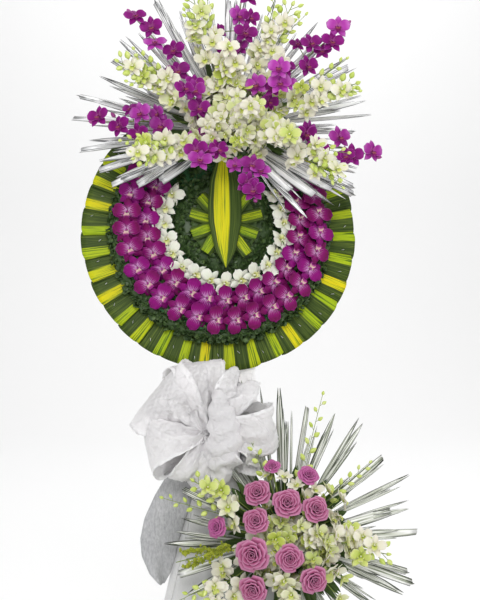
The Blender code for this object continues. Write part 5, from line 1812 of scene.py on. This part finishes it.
# A tuck is where it starts along the band, its slope and its width.
LEVELS, TUCKS = 22, ((0.28, 0.12, 0.018), (0.55, -0.1, 0.015), (0.78, 0.08, 0.02))
rows = []
for i in range(LEVELS):
    v = i / (LEVELS - 1)
    path = front_path(BAND_LOW + (BAND_HIGH - BAND_LOW) * v, SKIRT_OFFSET + BAND_CLEARANCE + SHEET)
    belly = sin(pi * min(max(v, 0.02), 0.98)) ** 0.5
    row = []
    for j, point in enumerate(path):
        u = j / (len(path) - 1)
        pleat = 0.5 + 0.5 * sin(9 * v + 3.0 * sin(5 * u) + 1.0)
        tuck = sum(exp(-((u - at - slope * v) / wide) ** 2) for at, slope, wide in TUCKS)
        depth = BAND_DEPTH * belly * (0.45 + 0.5 * pleat) * (1 - 0.55 * min(tuck, 1))
        if 0.08 < u < 0.92:
            row.append(tuple(point + Vector((0, -depth, 0))))
        else:
            row.append(tuple(point + level(point).normalized() * depth * 0.5))
    rows.append(row)
cloth_sheet("folded_band", [np.array(rows)], band_cloth_painted_light, ("cloth_band",), (0.145, 0.079))

# %% Felt tail
# The outline gives the left and right edge at heights from the top down.
TAIL_FRONT, TAIL_TOP, TAIL_FOOT = -0.0757, 0.6, 0.38
TAIL_OUTLINE = ((0.6, -0.124, -0.062), (0.56, -0.149, -0.067), (0.515, -0.17, -0.08),
                (0.472, -0.179, -0.095), (0.437, -0.176, -0.103), (0.4, -0.16, -0.116),
                (0.38, -0.142, -0.128))


def crumple(grid, size, height, seed):
    """Moves the points of a grid a little along y by soft noise."""
    out = grid.copy()
    for index in np.ndindex(grid.shape[:2]):
        x, y, z = grid[index]
        out[index][1] += height * noise.noise(Vector((x / size + seed, y / size, z / size)))
    return out


marks = np.array(TAIL_OUTLINE)[::-1]
rows = []
for height in np.linspace(TAIL_FOOT, TAIL_TOP, 34):
    left, right = (np.interp(height, marks[:, 0], marks[:, k]) for k in (1, 2))
    sink = (TAIL_TOP - height) / 0.22
    row = []
    for part in np.linspace(0, 1, 15):
        bulge = 0.008 * sin(pi * part * 1.5) * (0.3 + 0.7 * sink)
        bulge += 0.0025 * sin(part * 9 + height * 14) * sink
        row.append((left + (right - left) * part, TAIL_FRONT - 0.028 * sink - bulge, height))
    rows.append(row)
cloth_sheet("felt_tail", [crumple(np.array(rows), 0.05, 0.004, 3.0)], felt, ("cloth_tail",), (0.095, 0.232))

# %% Strip between disc and bow
STRIP_LINE = np.array(((0.604, -0.0515), (0.69, -0.0493), (0.774, -0.0493), (0.814, -0.017),
                       (0.86, -0.0115)))
STRIP_LEFT, STRIP_WIDTH, STRIP_GAP, STRIP_FOLD = -0.05, 0.124, 0.0012, 0.003
rows = []
for height in np.linspace(STRIP_LINE[0, 0], STRIP_LINE[-1, 0], 34):
    front = float(np.interp(height, STRIP_LINE[:, 0], STRIP_LINE[:, 1])) + STRIP_GAP
    row = []
    for part in np.linspace(0, 1, 25):
        fold = STRIP_FOLD * cos(tau * part * 1.5) - STRIP_FOLD
        fold -= 0.001 * sin(part * 30 + height * 25)
        row.append((STRIP_LEFT + STRIP_WIDTH * part, front + fold, height))
    rows.append(row)
cloth_sheet("cloth_strip", [np.array(rows)], bow_cloth, ("cloth_drape",), (0.1255, 0.272))

# %% [markdown]
# ## The bow
#
# Each loop is a wide ribbon that leaves the knot, turns over and comes back in front of itself, gathered at
# the knot. Loops made by a formula alone look like rings of card, and creases sculpted by hand look drawn.
# So the formula only gives the start, and a cloth simulation does the rest.

# %% Ribbon loops
# A loop is its heading, reach, half width, depth, move forwards and turn about its length.
KNOT_X, KNOT_Y, KNOT_Z, KNOT_GATHER = -0.042, -0.104, 0.695, 0.26
KNOT = Vector((KNOT_X, KNOT_Y, KNOT_Z))
LOOPS = ((139, 0.138, 0.074, 0.03, 0.004, -12), (99, 0.15, 0.054, 0.024, 0.008, 15),
         (190, 0.12, 0.054, 0.033, -0.018, 35), (243, 0.106, 0.042, 0.026, -0.008, -10),
         (54, 0.142, 0.046, 0.026, -0.002, -10), (8, 0.146, 0.046, 0.028, -0.006, 20),
         (-26, 0.138, 0.038, 0.026, -0.008, -15), (-62, 0.088, 0.036, 0.024, -0.012, 0))


def ribbon_loop(heading, reach, width, depth, forward, turn, seed, rows=44, columns=19):
    """One loop of ribbon as a grid, out behind and back in front, rolled about its length."""
    rng = random.Random(seed)
    a, roll = radians(heading), radians(turn)
    way, flat = Vector((cos(a), 0, sin(a))), Vector((-sin(a), 0, cos(a)))
    across = flat * cos(roll) - TALL * sin(roll)
    outward = -TALL * cos(roll) - flat * sin(roll)
    shift = rng.uniform(0, 6)
    grid = np.zeros((rows, columns, 3))
    for r in range(rows):
        t = r / (rows - 1)
        out_by = sin(pi * t) ** 0.75 if 0 < t < 1 else 0.0
        spread = KNOT_GATHER + (1 - KNOT_GATHER) * min(out_by / 0.8, 1.0) ** 0.9
        for c in range(columns):
            s = 2 * c / (columns - 1) - 1
            pleat = (1 - out_by) * sin(s * pi * 2.5 + shift)
            push = depth * (-0.9 * sin(tau * t) + 0.4 * pleat)
            point = KNOT + way * (reach * out_by) + across * (width * spread * s) + outward * push
            grid[r, c] = point + (TALL * (forward * out_by) + wobble(rng, 0.0007))
    return grid


grids = [ribbon_loop(*loop, seed=f"loop {number}") for number, loop in enumerate(LOOPS)]
held = [[r * grid.shape[1] + c for r, c in np.ndindex(grid.shape[:2]) if min(r, grid.shape[0] - 1 - r) < 3]
        for grid in grids]
print(len(grids), "loops")

# %% Tall front loop
LOOP_FOOT, LOOP_HEIGHT, LOOP_RADIUS, LOOP_DEPTH = -0.104, 0.196, 0.036, 0.03
rows, columns = 44, 25
draw = random.Random("front loop")
grid = np.zeros((rows, columns, 3))
for r in range(rows):
    t = r / (rows - 1)
    height = KNOT_Z + LOOP_FOOT + LOOP_HEIGHT * t
    belly = max(sin(pi * (0.06 + 0.88 * t)), 0.0) ** 0.6
    middle = KNOT_X + 0.04 - 0.012 * abs(height - KNOT_Z) / 0.1
    for c in range(columns):
        angle = pi * (0.95 + 1.1 * c / (columns - 1))
        ridge = 1 + 0.07 * sin(t * 34 + 1.5 * sin(angle * 2))
        place = (middle + LOOP_RADIUS * belly * ridge * cos(angle),
                 -0.126 + LOOP_DEPTH * belly * ridge * sin(angle), height)
        grid[r, c] = [value + draw.uniform(-0.0006, 0.0006) for value in place]
grids.append(grid)
held.append([r * columns + c for r, c in np.ndindex(rows, columns)
             if c in (0, columns - 1) or r in (0, rows - 1)])
print("front loop", grid.shape)

# %% [markdown]
# ### Settling the bow
#
# The cloth is told to be a fifth larger than the loops it starts from and is blown up a little from inside,
# held only at the knot. So the length to spare goes into folds and creases. The result is read back as
# plain points, and no simulation stays in the file.

# %% Cloth simulation


def cloth_rules(cloth, pressure, growth, frames):
    """Sets the rules: soft cloth without weight, blown up, and larger than it starts."""
    rule = cloth.settings
    rule.quality, rule.mass, rule.vertex_group_mass = 6, 0.15, "knot"
    rule.tension_stiffness = rule.compression_stiffness = 12
    rule.shear_stiffness, rule.bending_stiffness = 6, 0.15
    rule.use_pressure, rule.uniform_pressure_force, rule.shrink_min = True, pressure, -growth
    rule.effector_weights.gravity = 0.0
    cloth.collision_settings.use_collision = False
    cloth.point_cache.frame_start, cloth.point_cache.frame_end = 1, frames


def settled(grids, held, pressure, growth, frames=20):
    """The grids after a short cloth simulation, held at the numbered points of each."""
    points = np.concatenate([grid.reshape(-1, 3) for grid in grids])
    faces, pins, base = [], [], 0
    for grid, kept in zip(grids, held):
        faces += [tuple(base + i for i in face) for face in grid_faces(*grid.shape[:2])]
        pins += [base + i for i in kept]
        base += grid.shape[0] * grid.shape[1]
    mesh = bpy.data.meshes.new("bow_rest")
    mesh.from_pydata(points.tolist(), [], faces)
    item = linked("bow_rest", mesh)
    item.vertex_groups.new(name="knot").add(pins, 1.0, "REPLACE")
    cloth = item.modifiers.new("cloth", "CLOTH")
    cloth_rules(cloth, pressure, growth, frames)
    for number in range(1, frames + 1):
        scene.frame_set(number)
    made = read_back(item, cloth)
    scene.frame_set(1)
    moved_to = np.zeros(len(points) * 3)
    made.vertices.foreach_get("co", moved_to)
    moved_to = moved_to.reshape(-1, 3)
    print("bow settled, greatest move", round(float(np.abs(moved_to - points).max()), 3), "m")
    ends = np.cumsum([grid.shape[0] * grid.shape[1] for grid in grids])[:-1]
    return [part.reshape(grid.shape) for part, grid in zip(np.split(moved_to, ends), grids)]


loops = settled(grids[:-1], held[:-1], 4.5, 0.19) + settled(grids[-1:], held[-1:], 2.5, 0.07)
cloth_sheet("bow_of_cloth", loops, bow_cloth, ("bow",), (0.11, 2.9))

# %% [markdown]
# ## Stand and foam
#
# The wooden parts and the foam have simple forms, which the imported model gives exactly, so they keep their
# meshes instead of new ones. A florist hides the foam under leaves, and so do covers of small dark leaves
# here, strewn over a patch that is then removed.

# %% Wood and foam
WOODEN = ("backing_board", "support_batten", "leg_hub", "leg_front_left", "leg_front_right", "leg_back")
FOAM_PARTS = ("foam_disc", "top_foam_block", "lower_foam_block")
for nodes, look in ((WOODEN, wood), (FOAM_PARTS, foam)):
    for node in nodes:
        frame["nodes"][node].data.materials.clear()
        frame["nodes"][node].data.materials.append(look)
print("wooden parts", len(WOODEN), "foam parts", len(FOAM_PARTS))

# %% Covers of leaves


def leaf_cover(name, rings, matrix, density, seed, smallest, largest):
    """Small dark leaves strewn over a ring-shaped patch of foam."""
    patch = mesh_from(name + "_patch", carried(ring_grid(rings, 48), matrix), dark_leaf, 0.3)
    leaves = strewn(name, patch, density, seed, smallest, largest)
    bpy.data.meshes.remove(patch)
    piece = joined(name, [leaves])
    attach(piece, "root")


leaf_cover("leaves_over_foam_disc", [(0.11, 0.0306), (0.221, 0.0306), (0.221, 0.0304), (0.11, 0.0304)],
           disc, 7500, 12, 0.011, 0.018)
leaf_cover("leaves_over_top_block", [(0.002, top_block.depth), (0.058, top_block.depth), (0.059, 0.022),
                                     (0.058, 0.021), (0.002, 0.054)],
           disc @ Matrix.Translation(top_block.place), 9000, 13, 0.012, 0.022)
leaf_cover("leaves_over_lower_block", [(0.002, lower_block.depth), (0.063, lower_block.depth),
                                       (0.064, 0.042), (0.063, 0.041), (0.002, 0.059)],
           lower, 9000, 14, 0.012, 0.022)

# %% [markdown]
# ## Size and finish
#
# The dressed object may grow a little past the solids, because leaves and blooms are finer and reach
# further. Both boxes are measured, and the growth is printed in millimetres.

# %% Measuring the two boxes
dressed_box = [list(corner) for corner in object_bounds()]
grown = [[round(1000 * (b - a), 1) for a, b in zip(one, two)] for one, two in zip(cad_box, dressed_box)]
print("grown by mm", grown)
